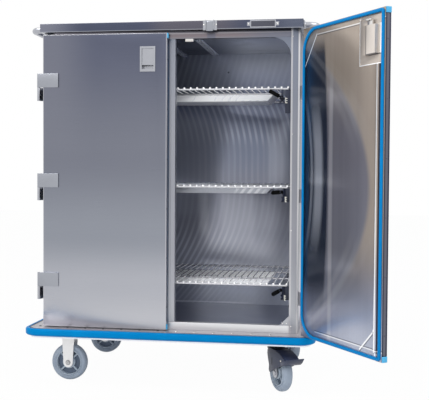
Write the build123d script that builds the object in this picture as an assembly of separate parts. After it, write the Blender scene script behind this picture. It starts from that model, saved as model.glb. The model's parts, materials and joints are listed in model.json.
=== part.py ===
from build123d import *
import math
import os

# Sealed case cart: a two-door stainless cabinet with wire shelves, on a bumpered deck with
# two rigid and two swivel casters. X runs along the doors, the doors face -Y and +Z is up.
# The origin lies on the floor, under the middle of the deck. All sizes are in millimetres.
# The left door is closed and the right door stands open. An inset, gap or margin is
# measured from the edge that its name gives.

# Deck and bumper
overall_w = 1194.0
overall_d = 838.0
deck_top = 235.0
deck_skirt = 38.0
deck_corner_r = 45.0
sheet = 2.0
channel_t = 2.0
channel_h = 34.0
channel_rise = 2.0
bumper_proud = 18.0
bumper_h = 29.5
bumper_sink = 1.0
bumper_round = 12.5
member_h = 42.5
member_wall = 3.0

# Cabinet
cab_w = 1050.0
cab_rear_inset = 29.0
door_inset = 65.0
cap_bottom = 1445.5
cap_h = 34.5
cap_overhang = 12.4
cap_front_lap = 2.0
cap_lip = 10.0
ceiling_drop = 31.0
post_w = 37.0
post_d = 30.0
centre_post_w = 44.0
bead_w = 8.0
bead_proud = 2.0
header_drop = 30.5
sill_h = 31.0
corner_r = 78.0
gusset = 39.0
slat_w = 26.0
slat_h = 8.0

# Doors
leaf_t = 24.0
liner_t = 2.0
seal_proud = 8.0
seal_w = 12.0
seal_round = 4.0
seal_gap = 0.3
seal_corner_r = 92.0
seal_inset = 3.0
seal_hinge_inset = 6.0
seal_free_inset = 1.5
door_floor_gap = 4.0
door_top_gap = 10.5
door_centre_gap = 14.0
right_door_open = 124.5
end_block_h = 20.0
end_block_proud = 5.0
rod_cover_w = 20.0
rod_cover_inset = 25.0
rod_cover_proud = 4.0

# Hinges
barrel_r = 6.0
pin_r = 3.0
running = 0.05
hinge_out = 20.0
strap_t = 3.0
strap_h = 57.0
strap_reach = 65.0
leaf_h = 54.0
knuckle_gap = 0.3
hinge_low = 403.0
hinge_pitch = 409.0
hinge_count = 3
wing_run = 45.0

# Door latches
latch_from_edge = 47.0
latch_w = 63.0
latch_h = 101.0
latch_top = 1382.0
bezel_t = 3.0
window_side = 7.5
window_low = 10.0
tub_side = 3.5
tub_wall = 2.0
latch_fit = 0.5
paddle_h = 68.0
paddle_t = 3.0
paddle_back = 0.4
paddle_pin_r = 1.5
paddle_above_pin = 3.0
arm_reach = 17.2
arm_t = 4.0
arm_w = 8.0
hook_travel = 12.0
hook_w = 28.0
hook_t = 6.0
hook_rise = 21.0
hook_nose = 8.0
hook_stem = 22.0
lock_shift = 7.5
lock_w = 70.0
lock_proud = 16.0
lock_plate_w = 130.0
lock_plate_h = 165.0
lock_plate_t = 1.5
keeper_w = 33.0
keeper_d = 20.0

# Flip catch and card holder on the cap's front
catch_x = 168.0
catch_w = 56.0
catch_h = 39.0
catch_plate_t = 2.5
catch_ear_t = 3.0
catch_ear_reach = 12.0
catch_pin_r = 2.0
catch_barrel_r = 4.0
flap_w = 28.0
flap_t = 3.0
flap_h = 43.0
card_x = 379.0
card_w = 126.0
card_h = 30.0
card_t = 3.0
card_rim = 4.0
card_tab = 12.0

# Push handles
handle_r = 12.7
handle_out = 50.0
handle_bend = 36.0
handle_span = 606.0
flange_w = 52.0
flange_h = 32.0
flange_t = 4.0

# Wire shelves and what carries them
shelf_side_gap = 45.0
shelf_back_gap = 9.0
shelf_post_gap = 0.7
shelf_low = 422.0
shelf_pitch = 396.0
rod_r = 4.0
rod_count = 4
wire_r = 2.2
wire_count = 37
weld_sink = 0.8
brace_t = 1.2
brace_drop = 31.0
brace_end_inset = 76.0
brace_slant = 32.0
brace_gap = 0.2
standard_w = 25.0
standard_d = 14.0
standard_inset = 22.0
rail_in = 34.0
rail_t = 3.0
rail_h = 28.0
rail_slot_l = 30.0
rail_slot_w = 16.0
rail_slot_pitch = 50.0

# Grips and their clamps at the right front corner of each shelf, listed from the lowest
grip_drops = (17.0, 18.0, 37.0)
grip_tilts = (-24.0, -4.0, 29.0)
grip_yaws = (-50.0, -48.0, 0.0)
grip_in = 26.0
grip_ahead = 13.6
grip_eye_r = 7.0
grip_eye_t = 8.0
grip_arm_r = 3.0
grip_r = 8.5
grip_start = 14.0
grip_l = 58.0
grip_pin_r = 3.0
strut_w = 8.0
clamp_t = 8.0
foot_drop = 34.0
foot_w = 24.0
foot_h = 26.0
pad_w = 10.0
hanger_w = 23.0
hanger_t = 4.0
hanger_h = 54.0

# Casters
wheel_r = 76.2
tyre_w = 38.0
tyre_crown = 1.5
tyre_shoulder = 6.2
tyre_flank = 14.0
tyre_bead_r = 46.5
bead_setback = 2.0
hub_rim_t = 5.0
hub_rim_w = 32.0
hub_boss_r = 19.0
hub_side_gap = 0.3
web_t = 3.0
spoke_count = 5
spoke_t = 8.0
spoke_w = 22.0
axle_r = 6.0
axle_head_r = 9.0
fork_gap = 48.0
fork_t = 4.0
fork_top_w = 52.0
fork_end_r = 20.0
plate_l = 114.0
plate_w = 102.0
plate_t = 5.0
bolt_spacing_x = 90.0
bolt_spacing_y = 78.0
bolt_head_r = 7.0
bolt_head_h = 5.0
caster_side_inset = 161.0
caster_inset = 144.5
trail = 45.0
swivel_turn = 30.0
race_r = 34.0
race_h = 16.0
race_gap = 0.3
crown_t = 6.0
kingpin_r = 8.0
kingpin_nut_r = 13.0
kingpin_nut_h = 5.5
cheek_t = 3.0
cheek_inset = 8.0
hood_gap = 3.0
hood_t = 3.0
bolt_clear = 3.0
pedal_angle = 33.4
pedal_pin_r = 4.0
pedal_boss_r = 9.0
pedal_hub_r = 5.5
pedal_gap = 0.9
pedal_side_gap = 0.5
pedal_l = 41.0
pedal_w = 68.0
pedal_rise = 15.0
pedal_drop = 13.0

# Rivets and screws
rivet_r = 3.2
rivet_h = 1.6
rivet_pitch = 76.0
rivet_inset = 35.0

# Sizes worked out from those above
deck_w = overall_w - 2 * (bumper_proud + channel_t)
deck_d = overall_d - 2 * (bumper_proud + channel_t)
face_y = -overall_d / 2 + door_inset
inner_y = face_y + leaf_t
post_y = inner_y + seal_proud + seal_gap
frame_y = post_y + post_d
back_y = overall_d / 2 - cab_rear_inset
side_x = cab_w / 2
wall_x = side_x - sheet
cap_x = side_x + cap_overhang
cap_front = face_y - cap_front_lap
cap_back = back_y + cap_overhang
cap_mid = cap_bottom + cap_h / 2
top_z = cap_bottom + cap_h
roof_z = top_z - sheet
ceiling_z = top_z - ceiling_drop
opening_top = cap_bottom - header_drop
opening_x = side_x - post_w
sill_z = deck_top + sill_h
door_low = deck_top + door_floor_gap
door_high = cap_bottom - door_top_gap
door_edge = door_centre_gap / 2
hinge_x = side_x + hinge_out
hinge_y = face_y - strap_t + barrel_r
hinge_axis = Axis((hinge_x, hinge_y, 0), (0, 0, 1))
hinge_zs = [hinge_low + i * hinge_pitch for i in range(hinge_count)]
latch_x = door_edge + latch_from_edge + latch_w / 2
latch_mid = latch_top - latch_h / 2
window_top = latch_top - window_side
paddle_y = face_y + paddle_back
paddle_axis_y = paddle_y + paddle_t / 2
paddle_axis_z = window_top - tub_wall
tub_back = inner_y - liner_t
lock_x = latch_x - lock_shift
hook_y = inner_y + lock_plate_t + arm_t
hook_top = latch_top + hook_rise
tongue_top = paddle_axis_z - arm_t / 2 - latch_fit
shelf_names = ("lower", "middle", "upper")
shelf_zs = [shelf_low + i * shelf_pitch for i in range(len(shelf_names))]
shelf_front = frame_y + shelf_post_gap + rod_r
shelf_w = 2 * (wall_x - shelf_side_gap)
shelf_d = back_y - sheet - rod_r - shelf_back_gap - shelf_front
caster_x = overall_w / 2 - caster_side_inset
caster_y = overall_d / 2 - caster_inset
plate_top = deck_top - sheet - member_h
plate_low = plate_top - plate_t
fork_out = fork_gap / 2 + fork_t
crown_top = plate_low - race_h - race_gap
crown_low = crown_top - crown_t
hood_r = wheel_r + hood_gap
pedal_reach = hood_r + hood_t + pedal_gap + pedal_hub_r
pedal_x = trail + pedal_reach * math.cos(math.radians(pedal_angle))
pedal_z = wheel_r + pedal_reach * math.sin(math.radians(pedal_angle))

model = {}


def keep(name, shapes):
    """Store the solids of one sub-part under its name."""
    model[name] = [solid for shape in shapes for solid in shape.solids()]


def block(x, y, z):
    """A box between two limits on each axis."""
    size = (x[1] - x[0], y[1] - y[0], z[1] - z[0])
    return Pos(x[0], y[0], z[0]) * Box(*size, align=(Align.MIN, Align.MIN, Align.MIN))


def around(centre, width):
    """The two limits of a width about a centre."""
    return (centre - width / 2, centre + width / 2)


def bar(start, end, radius):
    """A round bar between two points."""
    run = Vector(*end) - Vector(*start)
    plane = Plane(origin=start, z_dir=run.normalized())
    return plane * Cylinder(radius, run.length, align=(Align.CENTER, Align.CENTER, Align.MIN))


def mirrored(shapes):
    """The same solids on the other side of the middle of the cart."""
    return [mirror(shape, about=Plane.YZ) for shape in shapes]


def polygon(points):
    """A flat face with straight sides."""
    return make_face(Polyline(*points, close=True).edges())


def facing_front(outline, y_low, thickness):
    """A plate from an outline drawn in X and Z, from y_low towards the back."""
    plane = Plane(origin=(0, y_low, 0), x_dir=(1, 0, 0), z_dir=(0, -1, 0))
    return extrude(plane * outline, -thickness)


def tube_block(x, y, z, wall, hollow):
    """A box section, open at both ends of the axis named by hollow."""
    spans = []
    for name, (low, high) in zip("xyz", (x, y, z)):
        inset = -1.0 if name == hollow else wall
        spans.append((low + inset, high - inset))
    return block(x, y, z) - block(*spans)


def head(point, direction, radius, height):
    """A low domed screw, rivet or bolt head that stands on a face."""
    shape = Cylinder(radius, height, align=(Align.CENTER, Align.CENTER, Align.MIN))
    rim = shape.edges().sort_by(Axis.Z)[-1]
    return Plane(origin=point, z_dir=direction) * fillet(rim, 0.45 * height)


def deck_outline(grow):
    """The deck's outline, grown outwards by a distance."""
    return RectangleRounded(deck_w + 2 * grow, deck_d + 2 * grow, deck_corner_r + grow)


def build_deck():
    """The formed deck, the bumper's channel, the bumper and the members below."""
    skirt_z = deck_top - deck_skirt
    pan = Pos(0, 0, skirt_z) * extrude(deck_outline(0), deck_skirt)
    room = Pos(0, 0, skirt_z) * extrude(deck_outline(-sheet), deck_skirt - sheet)
    keep("base_deck", [pan - room])
    channel_z = deck_top + channel_rise - channel_h
    band = deck_outline(channel_t) - deck_outline(0)
    keep("bumper_channel", [Pos(0, 0, channel_z) * extrude(band, channel_h)])
    bumper_z = deck_top + channel_rise - bumper_sink - bumper_h
    solid = Pos(0, 0, bumper_z) * extrude(deck_outline(channel_t + bumper_proud), bumper_h)
    rims = solid.edges() - solid.edges().filter_by(Axis.Z)
    hole = Pos(0, 0, bumper_z) * extrude(deck_outline(channel_t), bumper_h)
    keep("bumper", [fillet(rims, bumper_round) - hole])
    members = []
    for y in (-caster_y, caster_y):
        x_span = around(0, deck_w - 2 * sheet)
        z_span = (plate_top, deck_top - sheet)
        members.append(tube_block(x_span, around(y, plate_w), z_span, member_wall, "x"))
    keep("undercarriage", members)


def build_walls():
    """The side walls, back wall, ceiling and roof cap."""
    wall = block((wall_x, side_x), (frame_y, back_y), (deck_top, roof_z))
    keep("side_wall_right", [wall])
    keep("side_wall_left", mirrored([wall]))
    inside = (-wall_x, wall_x)
    back_inner = back_y - sheet
    keep("back_wall", [block(inside, (back_inner, back_y), (deck_top, roof_z))])
    keep("ceiling_panel", [block(inside, (frame_y, back_inner), (ceiling_z - sheet, ceiling_z))])
    cap = block((-cap_x, cap_x), (cap_front, cap_back), (cap_bottom, top_z))
    room_x = cap_x - sheet
    room_y = (cap_front + sheet, cap_back - sheet)
    room = block((-room_x, room_x), room_y, (cap_bottom + sheet, roof_z))
    mouth_x = room_x - cap_lip
    mouth_y = (room_y[0] + cap_lip, room_y[1] - cap_lip)
    mouth = block((-mouth_x, mouth_x), mouth_y, (cap_bottom, roof_z))
    keep("roof_cap", [cap - room - mouth])


def build_door_frame():
    """The posts, header, sill and corner plates that the doors close against."""
    depth = (post_y, frame_y)
    post = tube_block((opening_x, side_x), depth, (deck_top, roof_z), sheet, "z")
    centre_z = (sill_z, opening_top)
    centre = tube_block(around(0, centre_post_w), depth, centre_z, sheet, "z")
    bead = block(around(0, bead_w), (post_y - bead_proud, post_y), centre_z)
    keep("door_posts", [post, centre + bead] + mirrored([post]))
    span = (-opening_x, opening_x)
    keep("header_rail", [tube_block(span, depth, (opening_top, roof_z), sheet, "x")])
    keep("threshold", [tube_block(span, depth, (deck_top, sill_z), sheet, "x")])
    keep("corner_plates", corner_plates())


def corner_plates():
    """Rounded plates in the upper outer corners and cut plates in the lower ones."""
    low_x = opening_x - corner_r
    low_z = opening_top - corner_r
    square = Pos(low_x, low_z) * Rectangle(corner_r, corner_r, align=(Align.MIN, Align.MIN))
    upper = facing_front(square - Pos(low_x, low_z) * Circle(corner_r), post_y, sheet)
    cut = polygon([(opening_x, sill_z), (opening_x, sill_z + gusset), (opening_x - gusset, sill_z)])
    plates = [upper, facing_front(cut, post_y, sheet)]
    return plates + mirrored(plates)


def latch_space(grow, y_low, y_high):
    """The outside of the latch tub, grown by a distance."""
    x_span = around(latch_x, latch_w - 2 * tub_side + 2 * grow)
    z_span = around(latch_mid, latch_h - 2 * tub_side + 2 * grow)
    return block(x_span, (y_low, y_high), z_span)


def build_leaf():
    """The right door's outer pan and inner liner, closed."""
    pan = block((door_edge, side_x), (face_y, tub_back), (door_low, door_high))
    room_x = (door_edge + sheet, side_x - sheet)
    room = block(room_x, (face_y + sheet, inner_y), (door_low + sheet, door_high - sheet))
    skin = pan - room - latch_space(latch_fit, face_y, face_y + sheet)
    liner = block((door_edge, side_x), (tub_back, inner_y), (door_low, door_high))
    cover_low = door_low + seal_inset + 2 * seal_w
    cover_high = latch_mid - lock_plate_h / 2 - latch_fit
    cover_x = door_edge + rod_cover_inset
    cover_y = (inner_y, inner_y + rod_cover_proud)
    cover = block((cover_x, cover_x + rod_cover_w), cover_y, (cover_low, cover_high))
    return skin, liner + cover - tongue_slot()


def seal_outline(inset):
    """The outline of the door seal in X and Z, with wide rounds on the hinge side."""
    x_low = door_edge + seal_free_inset + inset
    x_high = side_x - seal_hinge_inset - inset
    z_low = door_low + seal_inset + inset
    z_high = door_high - seal_inset - inset
    shape = Pos((x_low + x_high) / 2, (z_low + z_high) / 2) * Rectangle(x_high - x_low, z_high - z_low)
    hinge_side = shape.vertices().sort_by(Axis.X)[-2:]
    shape = fillet(hinge_side, seal_corner_r - inset)
    free_side = shape.vertices().sort_by(Axis.X)[:2]
    return fillet(free_side, seal_w + sheet - inset)


def build_seal():
    """The bulb seal round the inner face, and the two end blocks on the free edge."""
    solid = facing_front(seal_outline(0), inner_y, seal_proud)
    solid -= facing_front(seal_outline(seal_w), inner_y, seal_proud)
    tip = solid.faces().sort_by(Axis.Y)[-1]
    pieces = [fillet(tip.edges(), seal_round)]
    x_span = (door_edge - end_block_proud, door_edge)
    y_span = (face_y + sheet, inner_y - sheet)
    for z in (door_low, door_high - end_block_h):
        pieces.append(block(x_span, y_span, (z, z + end_block_h)))
    return pieces


def build_straps():
    """The door halves of the hinges: a strap on the face with its barrel."""
    straps = []
    for z in hinge_zs:
        low = z + knuckle_gap
        high = low + strap_h
        strap = block((side_x - strap_reach, hinge_x), (face_y - strap_t, face_y), (low, high))
        barrel = bar((hinge_x, hinge_y, low), (hinge_x, hinge_y, high), barrel_r)
        bore = bar((hinge_x, hinge_y, low - 1), (hinge_x, hinge_y, high + 1), pin_r + running)
        straps.append(strap + barrel - bore)
    return straps


def build_hinge_leaves():
    """The cabinet halves of the hinges: a wing on the post, a barrel and its pin."""
    wall = side_x - hinge_x
    root = post_y - hinge_y
    points = [
        (-0.9 * barrel_r, 0.0),
        (-0.25 * barrel_r, 0.8 * barrel_r),
        (wall + strap_t, root + strap_t),
        (wall + strap_t, root + wing_run),
        (wall, root + wing_run),
        (wall, root),
    ]
    leaves = []
    for z in hinge_zs:
        low = z - leaf_h
        wing = Pos(hinge_x, hinge_y, low) * extrude(polygon(points), leaf_h)
        barrel = bar((hinge_x, hinge_y, low), (hinge_x, hinge_y, z), barrel_r)
        pin = bar((hinge_x, hinge_y, low), (hinge_x, hinge_y, z + strap_h), pin_r)
        leaves.append(wing + barrel + pin)
    keep("hinge_leaves", leaves + mirrored(leaves))


def tongue_slot():
    """The slot through tub, liner and cover in which the hook's tongue slides."""
    low = tongue_top - arm_t - hook_travel - latch_fit
    y_span = (tub_back - tub_wall, inner_y + lock_plate_t)
    return block(around(lock_x, arm_w + 3.0), y_span, (low, tongue_top + latch_fit))


def latch_front():
    """The bezel on the door's face, with the tub behind its window."""
    z_span = (latch_top - latch_h, latch_top)
    bezel_y = (face_y - bezel_t, face_y)
    bezel = block(around(latch_x, latch_w), bezel_y, z_span)
    tub = latch_space(0, face_y, tub_back)
    room = latch_space(-tub_wall, face_y, tub_back - tub_wall)
    window_x = around(latch_x, latch_w - 2 * window_side)
    window = block(window_x, bezel_y, (z_span[0] + window_low, window_top))
    half = latch_w / 2 - tub_side
    left_end = (latch_x - half, paddle_axis_y, paddle_axis_z)
    right_end = (latch_x + half, paddle_axis_y, paddle_axis_z)
    pin_hole = bar(left_end, right_end, paddle_pin_r + running)
    return bezel + tub - room - window - pin_hole - tongue_slot()


def latch_cover():
    """The plate and box over the lock on the door's inner face."""
    plate_y = (inner_y, inner_y + lock_plate_t)
    plate = block(around(latch_x, lock_plate_w), plate_y, around(latch_mid, lock_plate_h))
    box = block(around(lock_x, lock_w), (inner_y, inner_y + lock_proud), around(latch_mid, latch_h))
    room_y = (plate_y[1], inner_y + lock_proud - tub_wall)
    room_z = around(latch_mid, latch_h - 2 * tub_wall)
    room = block(around(lock_x, lock_w - 2 * tub_wall), room_y, room_z)
    return plate + box - room - stem_space(latch_fit) - tongue_slot()


def latch_housing():
    """The latch's fixed pieces: front, cover and the cover's screws."""
    pieces = [latch_front(), latch_cover()]
    edge = 2 * rivet_r
    for dx in (-1, 1):
        for dz in (-1, 1):
            x = latch_x + dx * (lock_plate_w / 2 - edge)
            z = latch_mid + dz * (lock_plate_h / 2 - edge)
            pieces.append(head((x, inner_y + lock_plate_t, z), (0, 1, 0), rivet_r, rivet_h))
    return pieces


def stem_space(grow):
    """The upright stem of the hook, grown by a distance in plan."""
    x_span = around(lock_x, hook_w + 2 * grow)
    y_span = (hook_y - grow, hook_y + hook_t + grow)
    return block(x_span, y_span, (latch_top - hook_stem, hook_top))


def latch_hook():
    """The sliding hook, with its nose above and its driven tongue below."""
    nose_y = (hook_y, hook_y + hook_t + hook_nose)
    nose = block(around(lock_x, hook_w), nose_y, (hook_top - hook_t, hook_top))
    tongue_y = (tub_back - hook_nose, hook_y + hook_t)
    tongue = block(around(lock_x, arm_w + 2.0), tongue_y, (tongue_top - arm_t, tongue_top))
    return stem_space(0) + nose + tongue


def latch_paddle():
    """The pull paddle with its hinge pin and the arm that drives the hook."""
    half = latch_w / 2 - window_side - latch_fit
    high = paddle_axis_z + paddle_above_pin
    plate_y = (paddle_y, paddle_y + paddle_t)
    plate = block((latch_x - half, latch_x + half), plate_y, (high - paddle_h, high))
    reach = latch_w / 2 - tub_side - tub_wall / 2
    left_end = (latch_x - reach, paddle_axis_y, paddle_axis_z)
    right_end = (latch_x + reach, paddle_axis_y, paddle_axis_z)
    pin = bar(left_end, right_end, paddle_pin_r)
    arm_y = (plate_y[1], paddle_axis_y + arm_reach)
    arm = block(around(lock_x, arm_w), arm_y, around(paddle_axis_z, arm_t))
    return plate + pin + arm


def build_doors():
    """Both doors: the left one closed, the right one turned about its hinges."""
    skin, liner = build_leaf()
    pieces = {
        "skin": [skin],
        "liner": [liner],
        "seal": build_seal(),
        "hinge_straps": build_straps(),
        "latch_housing": latch_housing(),
        "latch_paddle": [latch_paddle()],
        "latch_hook": [latch_hook()],
    }
    for name, shapes in pieces.items():
        keep(f"door_left_{name}", mirrored(shapes))
        keep(f"door_right_{name}", [s.rotate(hinge_axis, right_door_open) for s in shapes])
    keeper_y = (post_y + sheet, post_y + sheet + keeper_d)
    keeper = block(around(lock_x, keeper_w), keeper_y, (hook_top + latch_fit, opening_top))
    keep("latch_keepers", [keeper] + mirrored([keeper]))


def build_card_holder():
    """The card holder on the cap's front: a framed window between two screw tabs."""
    half_y = cap_front - card_t / 2
    tabs = block(around(card_x, card_w), (half_y, cap_front), around(cap_mid, card_h / 2))
    body_w = card_w - 2 * card_tab
    body = block(around(card_x, body_w), (cap_front - card_t, cap_front), around(cap_mid, card_h))
    window_x = around(card_x, body_w - 2 * card_rim)
    window = block(window_x, (cap_front - card_t, half_y), around(cap_mid, card_h - 2 * card_rim))
    keep("card_holder", [tabs + body - window])


def build_catch():
    """The flip catch: a plate with two ears and a pin, and the flap that hangs on it."""
    plate_y = cap_front - catch_plate_t
    z_span = (top_z - catch_h, top_z)
    base = block(around(catch_x, catch_w), (plate_y, cap_front), z_span)
    pin_y = plate_y - catch_barrel_r - 2 * latch_fit
    pin_z = top_z - 2 * catch_barrel_r
    ear_x = flap_w / 2 + latch_fit
    for low in (catch_x - ear_x - catch_ear_t, catch_x + ear_x):
        base += block((low, low + catch_ear_t), (plate_y - catch_ear_reach, plate_y), z_span)
    reach = ear_x + catch_ear_t
    base += bar((catch_x - reach, pin_y, pin_z), (catch_x + reach, pin_y, pin_z), catch_pin_r)
    keep("catch_base", [base])
    half = flap_w / 2
    flap_low = top_z - flap_h
    flap_y = pin_y - catch_barrel_r
    barrel = bar((catch_x - half, pin_y, pin_z), (catch_x + half, pin_y, pin_z), catch_barrel_r)
    flap = block(around(catch_x, flap_w), (flap_y, flap_y + flap_t), (flap_low, pin_z))
    curl = block(around(catch_x, flap_w), (flap_y, plate_y - latch_fit), (flap_low, flap_low + flap_t))
    bore = bar((catch_x - half, pin_y, pin_z), (catch_x + half, pin_y, pin_z), catch_pin_r + running)
    keep("flip_catch", [barrel + flap + curl - bore])


def build_handles():
    """A push handle of bent tube on each end of the roof cap, welded to two flanges."""
    root_x = cap_x + flange_t / 2
    far_x = cap_x + handle_out
    half = handle_span / 2
    corners = [(root_x, -half), (far_x, -half), (far_x, half), (root_x, half)]
    points = [(x, y, cap_mid) for x, y in corners]
    path = FilletPolyline(*points, radius=handle_bend)
    section = Plane(origin=points[0], z_dir=(1, 0, 0)) * Circle(handle_r)
    handle = sweep(section, path=path)
    for y in (-half, half):
        handle += block((cap_x, cap_x + flange_t), around(y, flange_w), around(cap_mid, flange_h))
    keep("push_handle_right", [handle])
    keep("push_handle_left", mirrored([handle]))


def wire_shelf():
    """One welded shelf: cross rods below, wires from front to back on top."""
    half = shelf_w / 2
    back = shelf_front + shelf_d
    rods = []
    for i in range(rod_count):
        y = shelf_front + shelf_d * i / (rod_count - 1)
        rods.append(bar((-half, y, 0), (half, y, 0), rod_r))
    lift = rod_r + wire_r - weld_sink
    pitch = (shelf_w - 2 * wire_r) / (wire_count - 1)
    wires = []
    for i in range(wire_count):
        x = -half + wire_r + i * pitch
        wires.append(bar((x, shelf_front - rod_r, lift), (x, back + rod_r, lift), wire_r))
    return rods[0].fuse(*rods[1:], *wires)


def sloped(half, low, high, slope):
    """An outline in X and Z, centred on the cart, whose ends lean in towards its foot."""
    foot = half - slope * (high - low)
    return polygon([(-half, high), (half, high), (foot, low), (-foot, low)])


def shelf_brace():
    """The formed channel with closed ends between a shelf's two inner rods, below its wires."""
    high = rod_r - weld_sink - brace_gap
    half = shelf_w / 2 - brace_end_inset
    slope = brace_slant / (high + brace_drop)
    wall = brace_t * math.hypot(1, slope)
    rod_step = shelf_d / (rod_count - 1)
    low_y = shelf_front + rod_step + rod_r + brace_gap
    depth = rod_step - 2 * (rod_r + brace_gap)
    form = facing_front(sloped(half, -brace_drop, high, slope), low_y, depth)
    room = sloped(half - wall, brace_t - brace_drop, high, slope)
    return form - facing_front(room, low_y + brace_t, depth - 2 * brace_t)


def shelf_rail(z):
    """A slotted angle under the right end of a shelf, carried by the standards."""
    outer = wall_x - standard_d
    inner = shelf_w / 2 - rail_in
    high = z - rod_r
    y_span = (shelf_front + rod_r + latch_fit, back_y - 2 * sheet)
    rail = block((inner, outer), y_span, (high - rail_t, high))
    rail += block((outer - rail_t, outer), y_span, (high - rail_h, high))
    slots = int((y_span[1] - y_span[0]) / rail_slot_pitch)
    first = (y_span[0] + y_span[1] - (slots - 1) * rail_slot_pitch) / 2
    slot_x = (outer - 2 * rail_t - rail_slot_w, outer - 2 * rail_t)
    for i in range(slots):
        y = first + i * rail_slot_pitch
        rail -= block(slot_x, around(y, rail_slot_l), (high - rail_t, high))
    return rail


def build_shelves():
    """The wire shelves with their braces, and the standards and side rails that carry them."""
    shelf = wire_shelf()
    brace = shelf_brace()
    keep("shelf_braces", [Pos(0, 0, z) * brace for z in shelf_zs])
    supports = []
    for y in (frame_y + standard_inset, back_y - sheet - standard_inset):
        x_span = (wall_x - standard_d, wall_x)
        supports.append(block(x_span, around(y, standard_w), (deck_top, ceiling_z - sheet)))
    for name, z in zip(shelf_names, shelf_zs):
        keep(f"shelf_{name}", [Pos(0, 0, z) * shelf])
        supports.append(shelf_rail(z))
    keep("shelf_supports", supports + mirrored(supports))


def shelf_grip(tilt):
    """A grip on its arm, lying along -X and tilted about its eye."""
    eye = disc(grip_eye_r, grip_eye_t)
    arm = bar((0, 0, 0), (-grip_start, 0, 0), grip_arm_r)
    handle = bar((-grip_start, 0, 0), (-grip_l, 0, 0), grip_r)
    handle = fillet(handle.edges().filter_by(GeomType.CIRCLE), grip_arm_r)
    bore = disc(grip_pin_r + running, grip_eye_t)
    return Rot(0, tilt, 0) * (eye + arm + handle - bore)


def grip_clamp(drop):
    """The strut with its pivot pin and foot, and the pad, below a shelf's front rod."""
    near = grip_r + latch_fit
    y_span = (near, near + clamp_t)
    foot_z = (drop - foot_drop - foot_h, drop - foot_drop)
    strut = block(around(0, strut_w), y_span, (foot_z[1], drop - rod_r))
    pin = bar((0, y_span[1], 0), (0, -grip_eye_t / 2 - latch_fit, 0), grip_pin_r)
    foot = block(around(0, foot_w), y_span, foot_z)
    pad_y = (near, grip_ahead - latch_fit)
    pad = block((foot_w / 2, foot_w / 2 + pad_w), pad_y, foot_z)
    return [strut + pin + foot, pad]


def build_grips():
    """A grip, its clamp and a hanger at the right front corner of each shelf."""
    clamps = []
    grip_x = shelf_w / 2 - grip_in
    hanger_x = (grip_x + foot_w / 2, grip_x + foot_w / 2 + hanger_w)
    for i, name in enumerate(shelf_names):
        z = shelf_zs[i]
        corner = (grip_x, shelf_front - grip_ahead, z - grip_drops[i])
        place = Pos(*corner) * Rot(0, 0, grip_yaws[i])
        keep(f"shelf_grip_{name}", [place * shelf_grip(grip_tilts[i])])
        clamps += [place * piece for piece in grip_clamp(grip_drops[i])]
        hanger_z = (z - rod_r - hanger_h, z - rod_r)
        clamps.append(block(hanger_x, (shelf_front, shelf_front + hanger_t), hanger_z))
    keep("shelf_clamps", clamps)


def build_ceiling_channels():
    """A slotted channel under the ceiling behind each latch, from header to back wall."""
    high = ceiling_z - sheet
    low = high - slat_h
    y_span = (frame_y, back_y - sheet)
    channel = block(around(lock_x, slat_w), y_span, (low, high))
    channel -= block(around(lock_x, slat_w - 2 * sheet), y_span, (low + sheet, high))
    slots = int((y_span[1] - y_span[0]) / rivet_pitch)
    for i in range(slots):
        y = y_span[0] + (i + 0.5) * rivet_pitch
        channel -= block(around(lock_x, slat_h), around(y, standard_w), (low, low + sheet))
    keep("ceiling_channels", [channel] + mirrored([channel]))


def disc(radius, width):
    """A disc about the Y axis."""
    return Rot(90, 0, 0) * Cylinder(radius, width)


def tyre():
    """A tyre with a rounded tread, its axle along Y at the origin."""
    half = tyre_w / 2
    flank = wheel_r - tyre_flank
    shoulder = wheel_r - tyre_shoulder
    side = half - tyre_crown
    setback = half - bead_setback
    outline = [
        Line((tyre_bead_r, -setback), (tyre_bead_r, setback)),
        Line((tyre_bead_r, setback), (flank, half)),
        Line((flank, half), (shoulder, side)),
        ThreePointArc((shoulder, side), (wheel_r, 0), (shoulder, -side)),
        Line((shoulder, -side), (flank, -half)),
        Line((flank, -half), (tyre_bead_r, -setback)),
    ]
    return revolve(make_face(Curve() + outline), axis=Axis.Y)


def hub():
    """A spoked wheel centre with a bored boss, its axle along Y at the origin."""
    body = disc(tyre_bead_r, hub_rim_w) - disc(tyre_bead_r - hub_rim_t, hub_rim_w)
    body += disc(hub_boss_r, fork_gap - 2 * hub_side_gap)
    body += disc(tyre_bead_r - hub_rim_t / 2, web_t)
    spoke_l = tyre_bead_r - hub_rim_t / 2
    for i in range(spoke_count):
        spoke = Pos(0, 0, spoke_l / 2) * Box(spoke_t, spoke_w, spoke_l)
        body += Rot(0, i * 360 / spoke_count, 0) * spoke
    return body - disc(axle_r + running, fork_gap)


def caster_plate():
    """The top plate of a caster, centred above its stem."""
    return Pos(0, 0, plate_low + plate_t / 2) * Box(plate_l, plate_w, plate_t)


def plate_bolts():
    """The four bolt heads under a caster's top plate."""
    bolts = []
    for x in (-bolt_spacing_x / 2, bolt_spacing_x / 2):
        for y in (-bolt_spacing_y / 2, bolt_spacing_y / 2):
            bolts.append(head((x, y, plate_low), (0, 0, -1), bolt_head_r, bolt_head_h))
    return bolts


def fork_legs(top_z, lean):
    """The two legs of a fork: tapered plates with round ends about the axle."""
    half = fork_top_w / 2
    points = [(-half, top_z), (half, top_z), (lean + fork_end_r, wheel_r), (lean - fork_end_r, wheel_r)]
    outline = polygon(points) + Pos(lean, wheel_r) * Circle(fork_end_r)
    return facing_front(outline, -fork_out, fork_t) + facing_front(outline, fork_gap / 2, fork_t)


def axle_bolt(lean):
    """A bolt through fork and wheel with a head at each end."""
    bolt = bar((lean, -fork_out, wheel_r), (lean, fork_out, wheel_r), axle_r)
    for side in (-1, 1):
        bolt += head((lean, side * fork_out, wheel_r), (0, side, 0), axle_head_r, bolt_head_h)
    return bolt


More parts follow.
